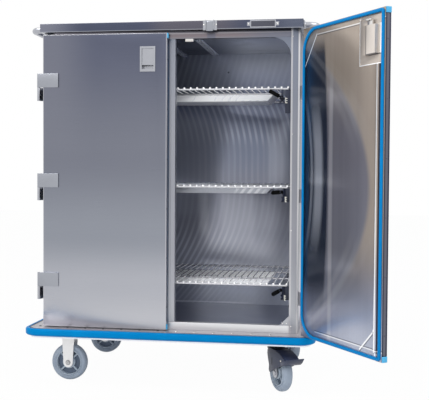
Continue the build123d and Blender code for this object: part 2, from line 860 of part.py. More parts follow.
def build_rigid_casters():
    """The two rigid casters on the left: forks, axle bolts, tyres and hubs."""
    forks = []
    bolt = axle_bolt(0)
    fork = caster_plate() + fork_legs(plate_low, 0) - bolt
    for name, y in (("front", -caster_y), ("rear", caster_y)):
        place = Pos(-caster_x, y, 0)
        forks += [place * piece for piece in [fork, bolt] + plate_bolts()]
        keep(f"tyre_left_{name}", [place * Pos(0, 0, wheel_r) * tyre()])
        keep(f"hub_left_{name}", [place * Pos(0, 0, wheel_r) * hub()])
    keep("rigid_forks", forks)


def build_swivel_casters():
    """The two swivel casters on the right, each with a brake housing and a pedal."""
    mounts = []
    for name, y in (("front", -caster_y), ("rear", caster_y)):
        place = Pos(caster_x, y, 0)
        turned = place * Rot(0, 0, swivel_turn - 90)
        mounts += [place * piece for piece in [swivel_mount()] + plate_bolts()]
        keep(f"swivel_fork_{name}", [turned * piece for piece in swivel_fork()])
        keep(f"brake_housing_{name}", [turned * brake_housing()])
        keep(f"brake_pedal_{name}", [turned * brake_pedal()])
        wheel = turned * Pos(trail, 0, wheel_r)
        keep(f"tyre_right_{name}", [wheel * tyre()])
        keep(f"hub_right_{name}", [wheel * hub()])
    keep("swivel_mounts", mounts)


def swivel_mount():
    """The top plate, race, kingpin and nut on which a fork turns."""
    nut_top = crown_low - race_gap
    nut_low = nut_top - kingpin_nut_h
    mount = caster_plate() + bar((0, 0, plate_low - race_h), (0, 0, plate_low), race_r)
    mount += bar((0, 0, nut_low), (0, 0, plate_low), kingpin_r)
    return mount + bar((0, 0, nut_low), (0, 0, nut_top), kingpin_nut_r)


def swivel_fork():
    """The fork and axle bolt of a swivel caster, trailing along +X before it is turned."""
    crown = block(around(0, fork_top_w), (-fork_out, fork_out), (crown_low, crown_top))
    bore = bar((0, 0, crown_low), (0, 0, crown_top), kingpin_r + running)
    bolt = axle_bolt(trail)
    return [crown + fork_legs(crown_top, trail) - bore - bolt, bolt]


def cheek_outline():
    """One side of the brake housing, from the fork's crown to the axle and the pedal."""
    front = cheek_inset - fork_top_w / 2
    top = crown_low - race_gap
    points = [
        (front, top),
        (fork_top_w / 2, top),
        (pedal_x + 0.5 * pedal_boss_r, pedal_z + 0.87 * pedal_boss_r),
        (pedal_x, pedal_z - pedal_boss_r),
        (trail + 0.55 * wheel_r, 1.3 * wheel_r),
        (trail + fork_end_r, wheel_r - 0.3 * fork_end_r),
        (trail, wheel_r - 0.8 * fork_end_r),
        (trail - 0.7 * fork_end_r, wheel_r - 0.3 * fork_end_r),
    ]
    centre = Pos(trail, wheel_r)
    crest = centre * Circle(hood_r + hood_t)
    crest &= Pos(trail + 1.2 * wheel_r, 1.85 * wheel_r) * Rectangle(2 * wheel_r, wheel_r)
    outline = polygon(points) + Pos(pedal_x, pedal_z) * Circle(pedal_boss_r) + crest
    return outline - centre * Circle(axle_head_r + bolt_clear)


def brake_housing():
    """The dark cover of the brake: a cheek on each fork leg, joined by a hood over the tyre."""
    outline = cheek_outline()
    cheeks = facing_front(outline, fork_out, cheek_t)
    cheeks += facing_front(outline, -fork_out - cheek_t, cheek_t)
    hood = disc(hood_r + hood_t, 2 * fork_out) - disc(hood_r, 2 * fork_out)
    x_span = (trail + 0.34 * wheel_r, trail + 2 * wheel_r)
    limits = block(x_span, (-fork_out, fork_out), (1.4 * wheel_r, 2.2 * wheel_r))
    hood = (Pos(trail, 0, wheel_r) * hood) & limits
    reach = fork_out + cheek_t
    hole = bar((pedal_x, -reach, pedal_z), (pedal_x, reach, pedal_z), pedal_pin_r + running)
    return cheeks + hood - hole


def brake_pedal():
    """The foot pedal, pivoted between the cheeks at the outer end of the brake housing."""
    x = pedal_x
    z = pedal_z
    reach = fork_out + cheek_t
    half = fork_out - pedal_side_gap
    pin = bar((x, -reach, z), (x, reach, z), pedal_pin_r)
    barrel = bar((x, -half, z), (x, half, z), pedal_hub_r)
    root = x + pedal_boss_r + pedal_side_gap
    neck = block((x, root + hood_t), (-half, half), around(z, 2 * pedal_hub_r))
    tip = x + pedal_l
    wedge = [
        (root, z + pedal_hub_r),
        (tip, z + pedal_rise),
        (tip, z + pedal_rise - hood_t),
        (root, z - pedal_drop),
    ]
    return pin + barrel + neck + facing_front(polygon(wedge), -pedal_w / 2, pedal_w)


def build_rivets():
    """The rows of rivets on the deck and the screws of the handles and small fittings."""
    heads = []
    rows = [
        ("x", -deck_d / 2 + rivet_inset, deck_w / 2 - deck_corner_r),
        ("y", deck_w / 2 - rivet_inset, deck_d / 2 - deck_corner_r),
        ("y", -deck_w / 2 + rivet_inset, deck_d / 2 - deck_corner_r),
    ]
    for along, offset, half in rows:
        count = int(2 * half / rivet_pitch)
        for i in range(count + 1):
            run = (i - count / 2) * rivet_pitch
            point = (run, offset, deck_top) if along == "x" else (offset, run, deck_top)
            heads.append(head(point, (0, 0, 1), rivet_r, rivet_h))
    for side in (-1, 1):
        x = card_x + side * (card_w - card_tab) / 2
        heads.append(head((x, cap_front - card_t / 2, cap_mid), (0, -1, 0), rivet_r, rivet_h))
        x = catch_x + side * (catch_w / 2 - 1.3 * rivet_r)
        heads.append(head((x, cap_front - catch_plate_t, cap_mid), (0, -1, 0), rivet_r, rivet_h))
        for y in (-handle_span / 2, handle_span / 2):
            for shift in (-1, 1):
                along_y = y + shift * (flange_w / 2 - 1.6 * rivet_r)
                point = (side * (cap_x + flange_t), along_y, cap_mid)
                heads.append(head(point, (side, 0, 0), rivet_r, rivet_h))
    keep("rivets_and_screws", heads)


build_deck()
build_walls()
build_door_frame()
build_doors()
build_hinge_leaves()
build_card_holder()
build_catch()
build_handles()
build_shelves()
build_grips()
build_ceiling_channels()
build_rigid_casters()
build_swivel_casters()
build_rivets()

os.makedirs("parts", exist_ok=True)
for node, solids in model.items():
    export_step(Compound(children=solids), f"parts/{node}.step")
print(len(model), "nodes")
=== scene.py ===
"""Visual model of a sealed case cart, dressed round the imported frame.

X runs along the doors, the doors face -Y and +Z is up. Lengths are in metres. The left door is
closed and the right door stands open, turned about its hinges.
"""

from __future__ import annotations

import json
import logging
import math
from dataclasses import dataclass, field
from enum import Enum
from functools import cache
from typing import Any, Callable, Optional, Sequence, Union

import bmesh
import bpy
from mathutils import Matrix, Vector

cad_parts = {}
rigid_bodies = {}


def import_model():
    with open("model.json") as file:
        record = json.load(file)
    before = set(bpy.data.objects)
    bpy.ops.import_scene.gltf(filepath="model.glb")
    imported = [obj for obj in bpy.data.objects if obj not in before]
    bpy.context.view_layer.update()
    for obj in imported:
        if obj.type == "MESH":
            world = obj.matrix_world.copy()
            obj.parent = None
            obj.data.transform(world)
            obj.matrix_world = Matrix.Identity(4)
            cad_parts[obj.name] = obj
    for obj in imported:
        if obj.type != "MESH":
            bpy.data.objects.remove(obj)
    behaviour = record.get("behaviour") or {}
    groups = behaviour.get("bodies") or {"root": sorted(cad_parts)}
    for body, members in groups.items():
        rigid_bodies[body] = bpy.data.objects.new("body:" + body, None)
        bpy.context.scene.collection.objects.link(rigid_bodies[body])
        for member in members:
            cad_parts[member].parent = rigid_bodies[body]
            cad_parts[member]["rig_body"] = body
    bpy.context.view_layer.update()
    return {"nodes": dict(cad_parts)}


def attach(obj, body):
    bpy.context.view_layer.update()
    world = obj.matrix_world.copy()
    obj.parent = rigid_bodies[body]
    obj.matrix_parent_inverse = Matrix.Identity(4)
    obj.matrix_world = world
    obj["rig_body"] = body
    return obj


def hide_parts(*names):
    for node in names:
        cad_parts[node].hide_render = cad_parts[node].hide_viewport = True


for leftover in list(bpy.data.objects):
    bpy.data.objects.remove(leftover)
FRAME: dict[str, Any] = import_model()

LOG = logging.getLogger("case_cart")
Point = Union[Vector, tuple[float, float, float]]
Span = tuple[float, float]

UP = Vector((0, 0, 1))
ORIGIN: Point = (0.0, 0.0, 0.0)
STILL = Matrix.Identity(4)
DOOR_ANGLE = math.radians(124.5)
HINGE = Vector((0.545, -0.351, 0.0))
SMOOTH_BELOW = math.radians(35)


def tone(code: str) -> tuple[float, ...]:
    """Turn six hexadecimal digits, as in "8C9AAA", into linear red, green and blue."""
    parts = (int(code[i:i + 2], 16) / 255 for i in (0, 2, 4))
    return tuple(p / 12.92 if p <= 0.04045 else ((p + 0.055) / 1.055) ** 2.4 for p in parts)


# Node trees


class Sock:
    """A node's output that takes part in arithmetic."""

    def __init__(self, nodes: "Nodes", link: bpy.types.NodeSocket) -> None:
        """Keep the tree and the socket."""
        self.nodes, self.link = nodes, link

    def __add__(self, other: "Number") -> "Sock":
        """Add."""
        return self.nodes.math("ADD", self, other)

    __radd__ = __add__

    def __sub__(self, other: "Number") -> "Sock":
        """Subtract."""
        return self.nodes.math("SUBTRACT", self, other)

    def __rsub__(self, other: "Number") -> "Sock":
        """Subtract from a value."""
        return self.nodes.math("SUBTRACT", other, self)

    def __mul__(self, other: "Number") -> "Sock":
        """Multiply."""
        return self.nodes.math("MULTIPLY", self, other)

    __rmul__ = __mul__

    def __abs__(self) -> "Sock":
        """Drop the sign."""
        return self.nodes.math("ABSOLUTE", self)

    def root(self) -> "Sock":
        """Take the square root."""
        return self.nodes.math("SQRT", self)

    def wave(self) -> "Sock":
        """Swing between 0 and 1 with the sine, in radians."""
        return self.nodes.math("SINE", self) * 0.5 + 0.5

    def most(self, other: "Number") -> "Sock":
        """Take the larger value."""
        return self.nodes.math("MAXIMUM", self, other)

    def least(self, other: "Number") -> "Sock":
        """Take the smaller value."""
        return self.nodes.math("MINIMUM", self, other)

    def ramp(self, low: float, high: float) -> "Sock":
        """Rise smoothly from 0 at low to 1 at high."""
        values = {"Value": self, "From Min": low, "From Max": high}
        return self.nodes.sock("ShaderNodeMapRange", values, interpolation_type="SMOOTHSTEP")

    def fall(self, low: float, high: float) -> "Sock":
        """Fall smoothly from 1 at low to 0 at high."""
        return 1 - self.ramp(low, high)

    def band(self, centre: float, half: float, soft: float) -> "Sock":
        """Give 1 up to half a width from the centre, and fade out over the soft width."""
        return abs(self - centre).fall(half, half + soft)


Number = Union[Sock, float, int]


class Nodes:
    """A node tree that grows."""

    def __init__(self, tree: bpy.types.NodeTree) -> None:
        """Start with an empty tree."""
        self.tree = tree
        tree.nodes.clear()

    def put(self, socket: bpy.types.NodeSocket, value: Any) -> None:
        """Link or set one input.

        Args:
            socket: The input.
            value: A Sock, a number, a vector or a colour.
        """
        if isinstance(value, Sock):
            self.tree.links.new(value.link, socket)
        elif socket.type == "RGBA" and len(value) == 3:
            socket.default_value = (*value, 1.0)
        else:
            socket.default_value = value

    def add(self, kind: str, values: Optional[dict] = None, **settings: Any) -> bpy.types.Node:
        """Add a node.

        Args:
            kind: The node's type.
            values: Values or links by socket name or number.
            **settings: The node's settings, which are set first.

        Returns:
            The new node.
        """
        node = self.tree.nodes.new(kind)
        for key, value in settings.items():
            setattr(node, key, value)
        for key, value in (values or {}).items():
            self.put(node.inputs[key], value)
        return node

    def sock(self, kind: str, values: Optional[dict] = None, **settings: Any) -> Sock:
        """Add a node as add does, and give its first output."""
        return Sock(self, self.add(kind, values, **settings).outputs[0])

    def math(self, operation: str, *values: Number) -> Sock:
        """Add a Math node."""
        return self.sock("ShaderNodeMath", dict(enumerate(values)), operation=operation)

    def seen_directly(self) -> Sock:
        """Tell rays from the camera, mirrors and glass from others.

        Returns:
            1 for such rays and 0 for others.
        """
        path = self.add("ShaderNodeLightPath")
        camera, glossy, glass = (
            Sock(self, path.outputs[f"Is {kind} Ray"])
            for kind in ("Camera", "Glossy", "Transmission")
        )
        return camera.most(glossy).most(glass)

    def blend(self, factor: Sock, first: Sock, second: Sock) -> Sock:
        """Blend two shaders by a factor."""
        return self.sock("ShaderNodeMixShader", {0: factor, 1: first, 2: second})


class Graph(Nodes):
    """The node graph of one material."""

    def __init__(self, name: str) -> None:
        """Start a material with a Principled shader."""
        self.material = bpy.data.materials.new(name)
        self.material.use_nodes = True
        super().__init__(self.material.node_tree)
        self.shader = self.add("ShaderNodeBsdfPrincipled")
        self.output = self.add("ShaderNodeOutputMaterial", {0: Sock(self, self.shader.outputs[0])})

    def mix(self, factor: Number, first: Any, second: Any) -> Sock:
        """Blend two colours by a factor."""
        values = {0: factor, 6: first, 7: second}
        return Sock(self, self.add("ShaderNodeMix", values, data_type="RGBA").outputs[2])

    def place(self, turned: bool = False) -> None:
        """Keep the object coordinates.

        Args:
            turned: Whether they turn back with the open door, as if it were closed.
        """
        self.spot = Sock(self, self.add("ShaderNodeTexCoord").outputs["Object"])
        if turned:
            back = Matrix.Rotation(-DOOR_ANGLE, 3, "Z")
            values = {"Location": HINGE - back @ HINGE, "Rotation": (0, 0, -DOOR_ANGLE)}
            self.spot = self.sock("ShaderNodeMapping", {"Vector": self.spot, **values})

    def noise(self, scales: Point, detail: float = 2.0, warp: float = 0.0) -> Sock:
        """Add noise that is stretched on each axis.

        Args:
            scales: Cycles per metre along X, Y and Z.
            detail: The number of finer layers.
            warp: How much the noise is distorted.

        Returns:
            The noise, centred on 0 and mostly within 0.5 either way.
        """
        spot = self.sock("ShaderNodeVectorMath", {0: self.spot, 1: scales}, operation="MULTIPLY")
        values = {"Vector": spot, "Scale": 1.0, "Detail": detail, "Distortion": warp}
        return self.sock("ShaderNodeTexNoise", values) - 0.5

    def surface(self, height: Sock, relief: float, **values: Any) -> bpy.types.Material:
        """Set the shader's sockets and hand over the material.

        Args:
            height: The bumps' height.
            relief: The metres that a height of 1 stands for.
            **values: Values or links, with underscores for the spaces in a socket's name.

        Returns:
            The material.
        """
        bump = {"Strength": 1.0, "Distance": relief, "Height": height}
        values["Normal"] = self.sock("ShaderNodeBump", bump)
        for key, value in values.items():
            self.put(self.shader.inputs[key.replace("_", " ")], value)
        return self.material


Shades = Union[str, tuple[tuple[float, str], ...]]


class Canvas(Graph):
    """A steel surface's graph, with the painters that vary its colour from place to place, mostly
    with painted light and shade.
    """

    def __init__(self, name: str, turned: bool, shades: Shades) -> None:
        """Start with one shade, or with several that blend by height.

        Args:
            name: The material's name.
            turned: Whether the coordinates turn back with the open door.
            shades: A colour code, or heights with their codes.
        """
        super().__init__(name)
        self.place(turned)
        node = self.add("ShaderNodeSeparateXYZ", {0: self.spot})
        self.axes = tuple(Sock(self, output) for output in node.outputs)
        stops = ((0.0, shades),) if isinstance(shades, str) else shades
        self.colour: Any = tone(stops[0][1])
        for (low, _), (high, code) in zip(stops, stops[1:]):
            self.lay(self.axes[2].ramp(low, high), code)

    def lay(self, mask: Sock, over: Union[str, Sock]) -> None:
        """Blend a colour over what is there, by a mask."""
        colour = over if isinstance(over, Sock) else tone(over)
        self.colour = self.mix(mask, self.colour, colour)

    def door_face(self) -> None:
        """Paint light on a door's face: a painted reflection lightens the hinge side's upper part
        and painted highlights lighten the folded edges.
        """
        x, _, z = self.axes
        # Painted reflection: the hinge side's upper part lighter.
        self.lay(abs(x).ramp(0.28, 0.5) * z.ramp(0.75, 1.3) * 0.55, "8A8C97")
        # Painted highlights along the folded edges at the sides, the foot and the top.
        edge = 1 - abs(x).fall(0.521, 0.5245) * abs(x).ramp(0.0075, 0.0115)
        foot = 1 - z.ramp(0.2395, 0.2435) * z.fall(1.4315, 1.4345)
        self.lay(edge.most(foot) * 0.6, "E3E3E6")

    def shaded_edge(self) -> None:
        """Darken the free edge of a door, which the seal shades."""
        x, y, _ = self.axes
        strip = self.mix(y.band(-0.342, 0.0045, 0.001), tone("3E4050"), tone("6A6B76"))
        self.lay(abs(x).fall(0.0074, 0.009), strip)

    def brushed_lining(self) -> None:
        """Paint light and shade on the inner walls: leaning painted reflection streaks, painted
        light fields and shafts, painted shade at the upper left, lower left and right, and a
        painted highlight line near the deck.
        """
        x, y, z = self.axes
        # Painted reflection streaks that lean, stronger on the left low down and higher up.
        low = (0.8 - z).most(0.0)
        high = (z.least(1.2) - 0.95).most(0.0)
        top = (z - 1.2).most(0.0)
        lean = low * low * 0.8 + high * high * 0.9 - top * 0.3
        drift = self.noise((1.6, 1.6, 2.2)) * 0.03
        wave = ((x + y * 0.7 + lean + drift) * 217.0).wave()
        patch = self.noise((4.0, 4.0, 2.0), 3.0).ramp(-0.1, 0.25)
        left = x.fall(-0.16, 0.24)
        reach = left * z.fall(0.5, 0.7) * 0.5 + z.band(1.12, 0.05, 0.08) * 0.2
        reach = reach + z.ramp(1.2, 1.24) * 0.1
        streak = wave.ramp(0.3, 1.0) * (0.03 + patch * 0.05 + reach * (0.6 + patch * 0.4))
        # Painted shade at the upper left; painted light on the left lower down and in a field right
        # of the middle.
        self.lay(left * top * 3.0, "343A49")
        self.lay(left * z.fall(1.1, 1.2) * z.ramp(0.3, 0.45) * 0.6, "A8ABB8")
        self.lay(z.band(0.66, 0.1, 0.09) * x.band(0.19, 0.06, 0.04) * 0.16, "A4A6AE")
        # Painted shade at the lower left.
        self.lay(x.fall(-0.1, 0.2) * z.band(0.55, 0.09, 0.06) * 0.2, "4A424C")
        # Lay the painted reflection streaks.
        self.lay(streak, "C4C7CF")
        # Painted shade on the right at mid height.
        self.lay(x.ramp(0.28, 0.4) * z.band(1.0, 0.12, 0.08) * 0.35, "40434E")
        # Painted light shafts.
        shaft = x.band(0.02, 0.006, 0.03) * z.band(0.68, 0.06, 0.08)
        side = x.band(0.385, 0.02, 0.05) * z.band(0.98, 0.1, 0.1) * 0.1
        self.lay(shaft * 0.3 + side, "C4C6CC")
        # Painted highlight line near the deck.
        self.lay(z.band(0.242, 0.003, 0.002) * x.fall(0.1, 0.3) * 0.7, "DADCE2")

    def shaded_ceiling(self) -> None:
        """Let the ceiling darken to the left."""
        self.lay(self.axes[0].fall(-0.14, 0.22), "2F3546")

    def deck_zones(self) -> None:
        """Paint shade on the deck's top inside the cabinet and at its front under the left door,
        darken its side strips, paint a highlight on its left front corner and lighten its lower
        edge.
        """
        x, y, z = self.axes
        # Painted shade on the top inside the cabinet.
        self.lay(abs(x).fall(0.52, 0.53) * y.ramp(-0.3, -0.28) * z.ramp(0.2, 0.23), "9A9FB2")
        # Painted shade at the front under the left door; the side strips darker.
        front = y.fall(-0.36, -0.34) * x.fall(-0.1, 0.02)
        self.lay((front * 0.2).most(abs(x).ramp(0.526, 0.53) * 0.35), "565460")
        # Painted highlight on the left front corner.
        corner = x.fall(-0.47, -0.45) * y.fall(-0.384, -0.38) * z.ramp(0.234, 0.2355)
        self.lay(corner * 0.9, "FFFFFF")
        self.lay(z.fall(0.2075, 0.208) * 0.95, "F4F7FF")

    def blue_lip(self) -> None:
        """Let the channel's lower lip take the bumper's colour."""
        self.lay(self.axes[2].fall(0.2085, 0.209), "0B6BAC")

    def post_lines(self) -> None:
        """Paint highlights on the centre post's front and on the folded edges of the door posts."""
        away = abs(self.axes[0])
        # Painted highlight on the centre post's front.
        self.lay(away.fall(0.02, 0.03) * 0.45, "B2B4BB")
        # Painted highlights along the folded edges.
        folds = away.band(0.4915, 0.003, 0.002) * 0.5 + away.band(0.5205, 0.0024, 0.0015) * 0.85
        self.lay(folds, "E2E0E1")

    def header_lines(self) -> None:
        """Paint the header's reflections: a cooler right half, a darker band, and a pale streak
        along its top as a painted highlight.
        """
        x, _, z = self.axes
        self.lay(x.ramp(0.25, 0.42) * 0.7, "7A8090")
        self.lay(x.band(0.168, 0.014, 0.006) * 0.6, "6C7284")
        self.lay(z.band(1.436, 0.0012, 0.002) * 0.45, "C9C6C8")

    def cap_tones(self) -> None:
        """Paint reflections on the roof cap's front: warmer in the middle, lighter at its left end
        and cooler at its right end, with a painted highlight on its lower lip.
        """
        x, y, z = self.axes
        front = y.fall(-0.354, -0.35)
        # Painted reflections along the front.
        self.lay(x.band(0.1, 0.1, 0.12) * front * 0.7, "6C6870")
        self.lay(x.fall(-0.53, -0.34) * front * 0.8, "8A8C99")
        self.lay(x.ramp(0.4, 0.5) * front * 0.6, "6E7484")
        # Painted highlight on the lower lip.
        self.lay(z.fall(1.4465, 1.449) * 0.6, "C3C6CE")

    def streaked_liner(self) -> None:
        """Paint a liner's reflections: painted reflection of the dark cabinet on its hinge side, a
        warmer free side and a lighter foot, painted reflection streaks, painted highlights on its
        folded edges, and dark lines and joints.
        """
        x, _, z = self.axes
        curve = x - (z - 0.82) * (z - 0.82) * 1.35
        # Painted reflection: a warmer free side.
        self.lay(curve.fall(0.07, 0.105) * z.ramp(0.4, 0.7) * 0.9, "9C9084")
        # Painted reflection of the dark cabinet on the hinge side, with reflected arcs and a
        # lighter bulge.
        edge = x - (z - 0.84) * (z - 0.84) * 0.1
        dark = edge.ramp(0.338, 0.356) * z.ramp(0.34, 0.5) * z.fall(1.31, 1.4)
        arcs = ((x - 0.62) * (x - 0.62) + (z - 0.86) * (z - 0.86) * 0.15).root()
        lines = (arcs * 700.0 + self.noise((7.0, 7.0, 2.0)) * 5.0).wave()
        navy = self.mix(lines * 0.35, tone("161D2E"), tone("4C5464"))
        bulge = arcs.band(0.212, 0.012, 0.03).most(arcs.band(0.165, 0.003, 0.01) * 0.6)
        bulge = bulge * z.band(0.87, 0.1, 0.25)
        self.lay(dark, self.mix(bulge * 0.9, navy, tone("9A9EA8")))
        # Painted reflection: lighter low down, most of all towards the free side.
        low = z.fall(0.28, 0.56) * (1 - x.ramp(0.16, 0.44) * 0.9)
        self.lay(low * 0.85, "A4A8B5")
        # Painted reflection streaks; the noise below breaks them up along their length.
        sweep = curve + self.noise((2.0, 2.0, 1.4)) * 0.02
        worn = self.noise((3.0, 3.0, 1.2), 3.0).ramp(-0.2, 0.3) * 0.5 + 0.5
        ends = abs(z - 0.82).ramp(0.1, 0.3)
        streaks = ((0.1, 0.005, 0.26), (0.055, 0.01, 0.07), (0.15, 0.004, 0.16))
        for offset, half, strength in streaks:
            self.lay(sweep.band(offset, half, 0.03) * ends * worn * strength, "CDCCCE")
        # A painted light line beside the dark hinge side.
        self.lay(x.band(0.327, 0.006, 0.012) * z.fall(1.15, 1.3) * 0.45, "B5B4B8")
        below = z.fall(1.262, 1.268)
        self.lay(x.band(0.028, 0.0055, 0.002) * below * 0.85, "2A2D3A")
        slant = z + x * 0.954
        reach = x.band(0.088, 0.045, 0.002)
        corner = (slant - 0.388).band(0.0, 0.003, 0.002) * reach
        cut = (z + x * 1.42 - 2.01).band(0.0, 0.003, 0.002) * x.ramp(0.425, 0.43)
        frame = (x.band(0.0445, 0.0022, 0.0015) * below).most(corner.most(cut))
        inner = x.fall(0.42, 0.43)
        rim = z.band(1.4005, 0.0016, 0.001).most(z.band(0.2725, 0.0016, 0.001)) * inner
        joint = z.band(1.3965, 0.0016, 0.001).most(z.band(0.2765, 0.0016, 0.001)) * inner
        # Dark joints; painted highlights on the frame and the folded rims.
        self.lay(joint * 0.6, "3A3C48")
        self.lay((slant - 0.381).band(0.0, 0.002, 0.002) * reach * 0.7, "3A3C48")
        self.lay(frame.most(rim * 0.6) * 0.9, "F4F4F4")

    def housing_tones(self) -> None:
        """Paint highlights on the folds of the latch's inner cover, and draw its lighter panel and
        dark joints.
        """
        x, y, z = self.axes
        tall = z.band(1.334, 0.05, 0.001)
        self.lay(x.band(0.06, 0.033, 0.001) * tall * 0.5, "D9D2CB")
        dark = x.band(0.0945, 0.0012, 0.001).most(z.band(1.2825, 0.0016, 0.001))
        dark = dark * x.band(0.06, 0.036, 0.001) * z.band(1.334, 0.053, 0.001)
        self.lay(dark * 0.85, "3C3A40")
        # Painted highlights on the folds.
        bright = x.ramp(0.1465, 0.1475).most(z.fall(1.2515, 1.2525))
        self.lay(bright.most(x.band(0.0285, 0.0022, 0.001) * tall), "FFFFFF")
        self.lay(y.fall(-0.349, -0.346), "A6A9B1")

    def brace_tones(self) -> None:
        """Paint shade on the middle shelf's brace with painted light streaks near its right end,
        and painted wire shadows and a shaded line on the upper brace.
        """
        x, _, z = self.axes
        middle = z.band(0.804, 0.05, 0.01)
        # Painted shade on the middle brace.
        self.lay(middle * 0.85, "8D909A")
        slant = ((x - z * 0.8) * 200.0).wave()
        # Painted light streaks near the middle brace's right end.
        self.lay(middle * slant.ramp(0.2, 0.9) * x.band(0.3, 0.05, 0.03) * 0.5, "E4E4E6")
        # Painted shadows of the wires and a painted shade line on the upper brace.
        self.lay(slant.ramp(0.4, 1.0) * z.ramp(1.18, 1.185) * 0.22, "9A9DA6")
        self.lay(z.band(1.183, 0.003, 0.001) * x.ramp(0.16, 0.36) * 0.5, "7E828C")

    def wire_tones(self) -> None:
        """Paint shade on the lower shelf's wires above its pale brace."""
        x, y, z = self.axes
        self.lay(y.band(0.03, 0.115, 0.01) * z.fall(0.45, 0.5) * x.fall(0.39, 0.41), "2E303C")

    def axle_mark(self) -> None:
        """Draw the axle bolts on the rigid forks as darker discs with a painted highlight ring."""
        x, _, z = self.axes
        away = ((x + 0.436) * (x + 0.436) + (z - 0.0762) * (z - 0.0762)).root()
        self.lay(away.fall(0.0105, 0.0115) * 0.6, "5E5C64")
        # Painted highlight ring on the bolt.
        self.lay(away.band(0.0045, 0.0012, 0.001) * 0.5, "D8D6D4")

    def dark_neck(self) -> None:
        """Paint shade on the race and crown of a swivel caster, in the dark gap under its plate."""
        self.lay(self.axes[2].band(0.1725, 0.0118, 0.001), "14161E")


# Finishes


class Grain(Enum):
    """The way in which steel is brushed, as fine and broad noise scales."""

    UPRIGHT = ((1400.0, 1400.0, 9.0), (42.0, 42.0, 0.7))
    LEVEL = ((9.0, 9.0, 1400.0), (0.9, 0.9, 16.0))
    NONE = ((500.0, 500.0, 500.0), (14.0, 14.0, 14.0))


@dataclass(frozen=True)
class Steel:
    """Brushed or satin stainless steel, in one shade or in several that blend by height as painted
    reflection.
    """

    name: str
    shades: Shades
    grain: Grain = Grain.NONE
    rough: float = 0.3
    cloud: float = 0.12
    metal: float = 1.0
    # A gain above 1 is painted light: it brightens the colour where the scene's light leaves the
    # surface too dark.
    gain: float = 1.0
    turned: bool = False
    painter: Optional[Callable[[Canvas], None]] = None

    def material(self) -> bpy.types.Material:
        """Build the material."""
        art = Canvas(self.name, self.turned, self.shades)
        if self.painter:
            self.painter(art)
        fine = art.noise(self.grain.value[0], 3.0)
        broad = art.noise(self.grain.value[1])
        smudge = art.noise((6.0, 6.0, 6.0), 4.0, 0.6)
        light = (1 + fine * 0.14 + broad * self.cloud) * self.gain
        values = {0: art.colour, "Scale": light}
        colour = art.sock("ShaderNodeVectorMath", values, operation="SCALE")
        rough = self.rough + fine * 0.16 + smudge * 0.12
        return art.surface(fine, 0.00004, Base_Color=colour, Roughness=rough, Metallic=self.metal)


@dataclass(frozen=True)
class Moulded:
    """Moulded plastic, rubber or paint, with patches of wear."""

    name: str
    colour: str
    worn: str
    rough: float = 0.4
    relief: float = 0.00005
    patch: float = 9.0
    sheen: float = 0.5

    def material(self) -> bpy.types.Material:
        """Build the material."""
        graph = Graph(self.name)
        graph.place()
        wear = graph.noise((self.patch,) * 3, 5.0, 0.4)
        skin = graph.noise((900.0, 900.0, 900.0))
        colour = graph.mix(wear.ramp(-0.1, 0.32), tone(self.colour), tone(self.worn))
        rough = self.rough + wear * 0.18 + skin * 0.08
        values = {"Base_Color": colour, "Roughness": rough, "Specular_IOR_Level": self.sheen}
        return graph.surface(skin, self.relief, **values)


Finish = Union[Steel, Moulded]


@cache
def material_of(finish: Finish) -> bpy.types.Material:
    """Build a finish's material once."""
    return finish.material()


# Shades by height are painted reflection: lighter low down and darker towards the top on the door
# faces, side skins and posts; on the inner walls dark in the middle and lighter near the deck and
# the ceiling; on the liner lighter and warmer at the top; on the header darker towards the top.
FACE_SHADES = (
    (0.25, "C2C3C9"), (0.42, "B4B6BE"), (0.62, "969AA4"), (0.95, "7E818D"), (1.42, "626678"),
)
WALL_SHADES = (
    (0.25, "A0A3AE"), (0.36, "9A9DA6"), (0.42, "868890"), (0.6, "6A6C75"),
    (0.8, "5A5C66"), (0.98, "525765"), (1.2, "5E6373"), (1.42, "A4A7B2"),
)
LINER_SHADES = ((0.3, "797D8F"), (0.6, "74747E"), (1.0, "706E77"), (1.38, "938C8A"))
POST_SHADES = ((0.26, "B9BBC0"), (0.6, "9C9DA5"), (0.95, "8C8E97"), (1.42, "7F8594"))
HEADER_SHADES = ((1.414, "8E8D95"), (1.425, "8A8085"), (1.4455, "7E7C86"))


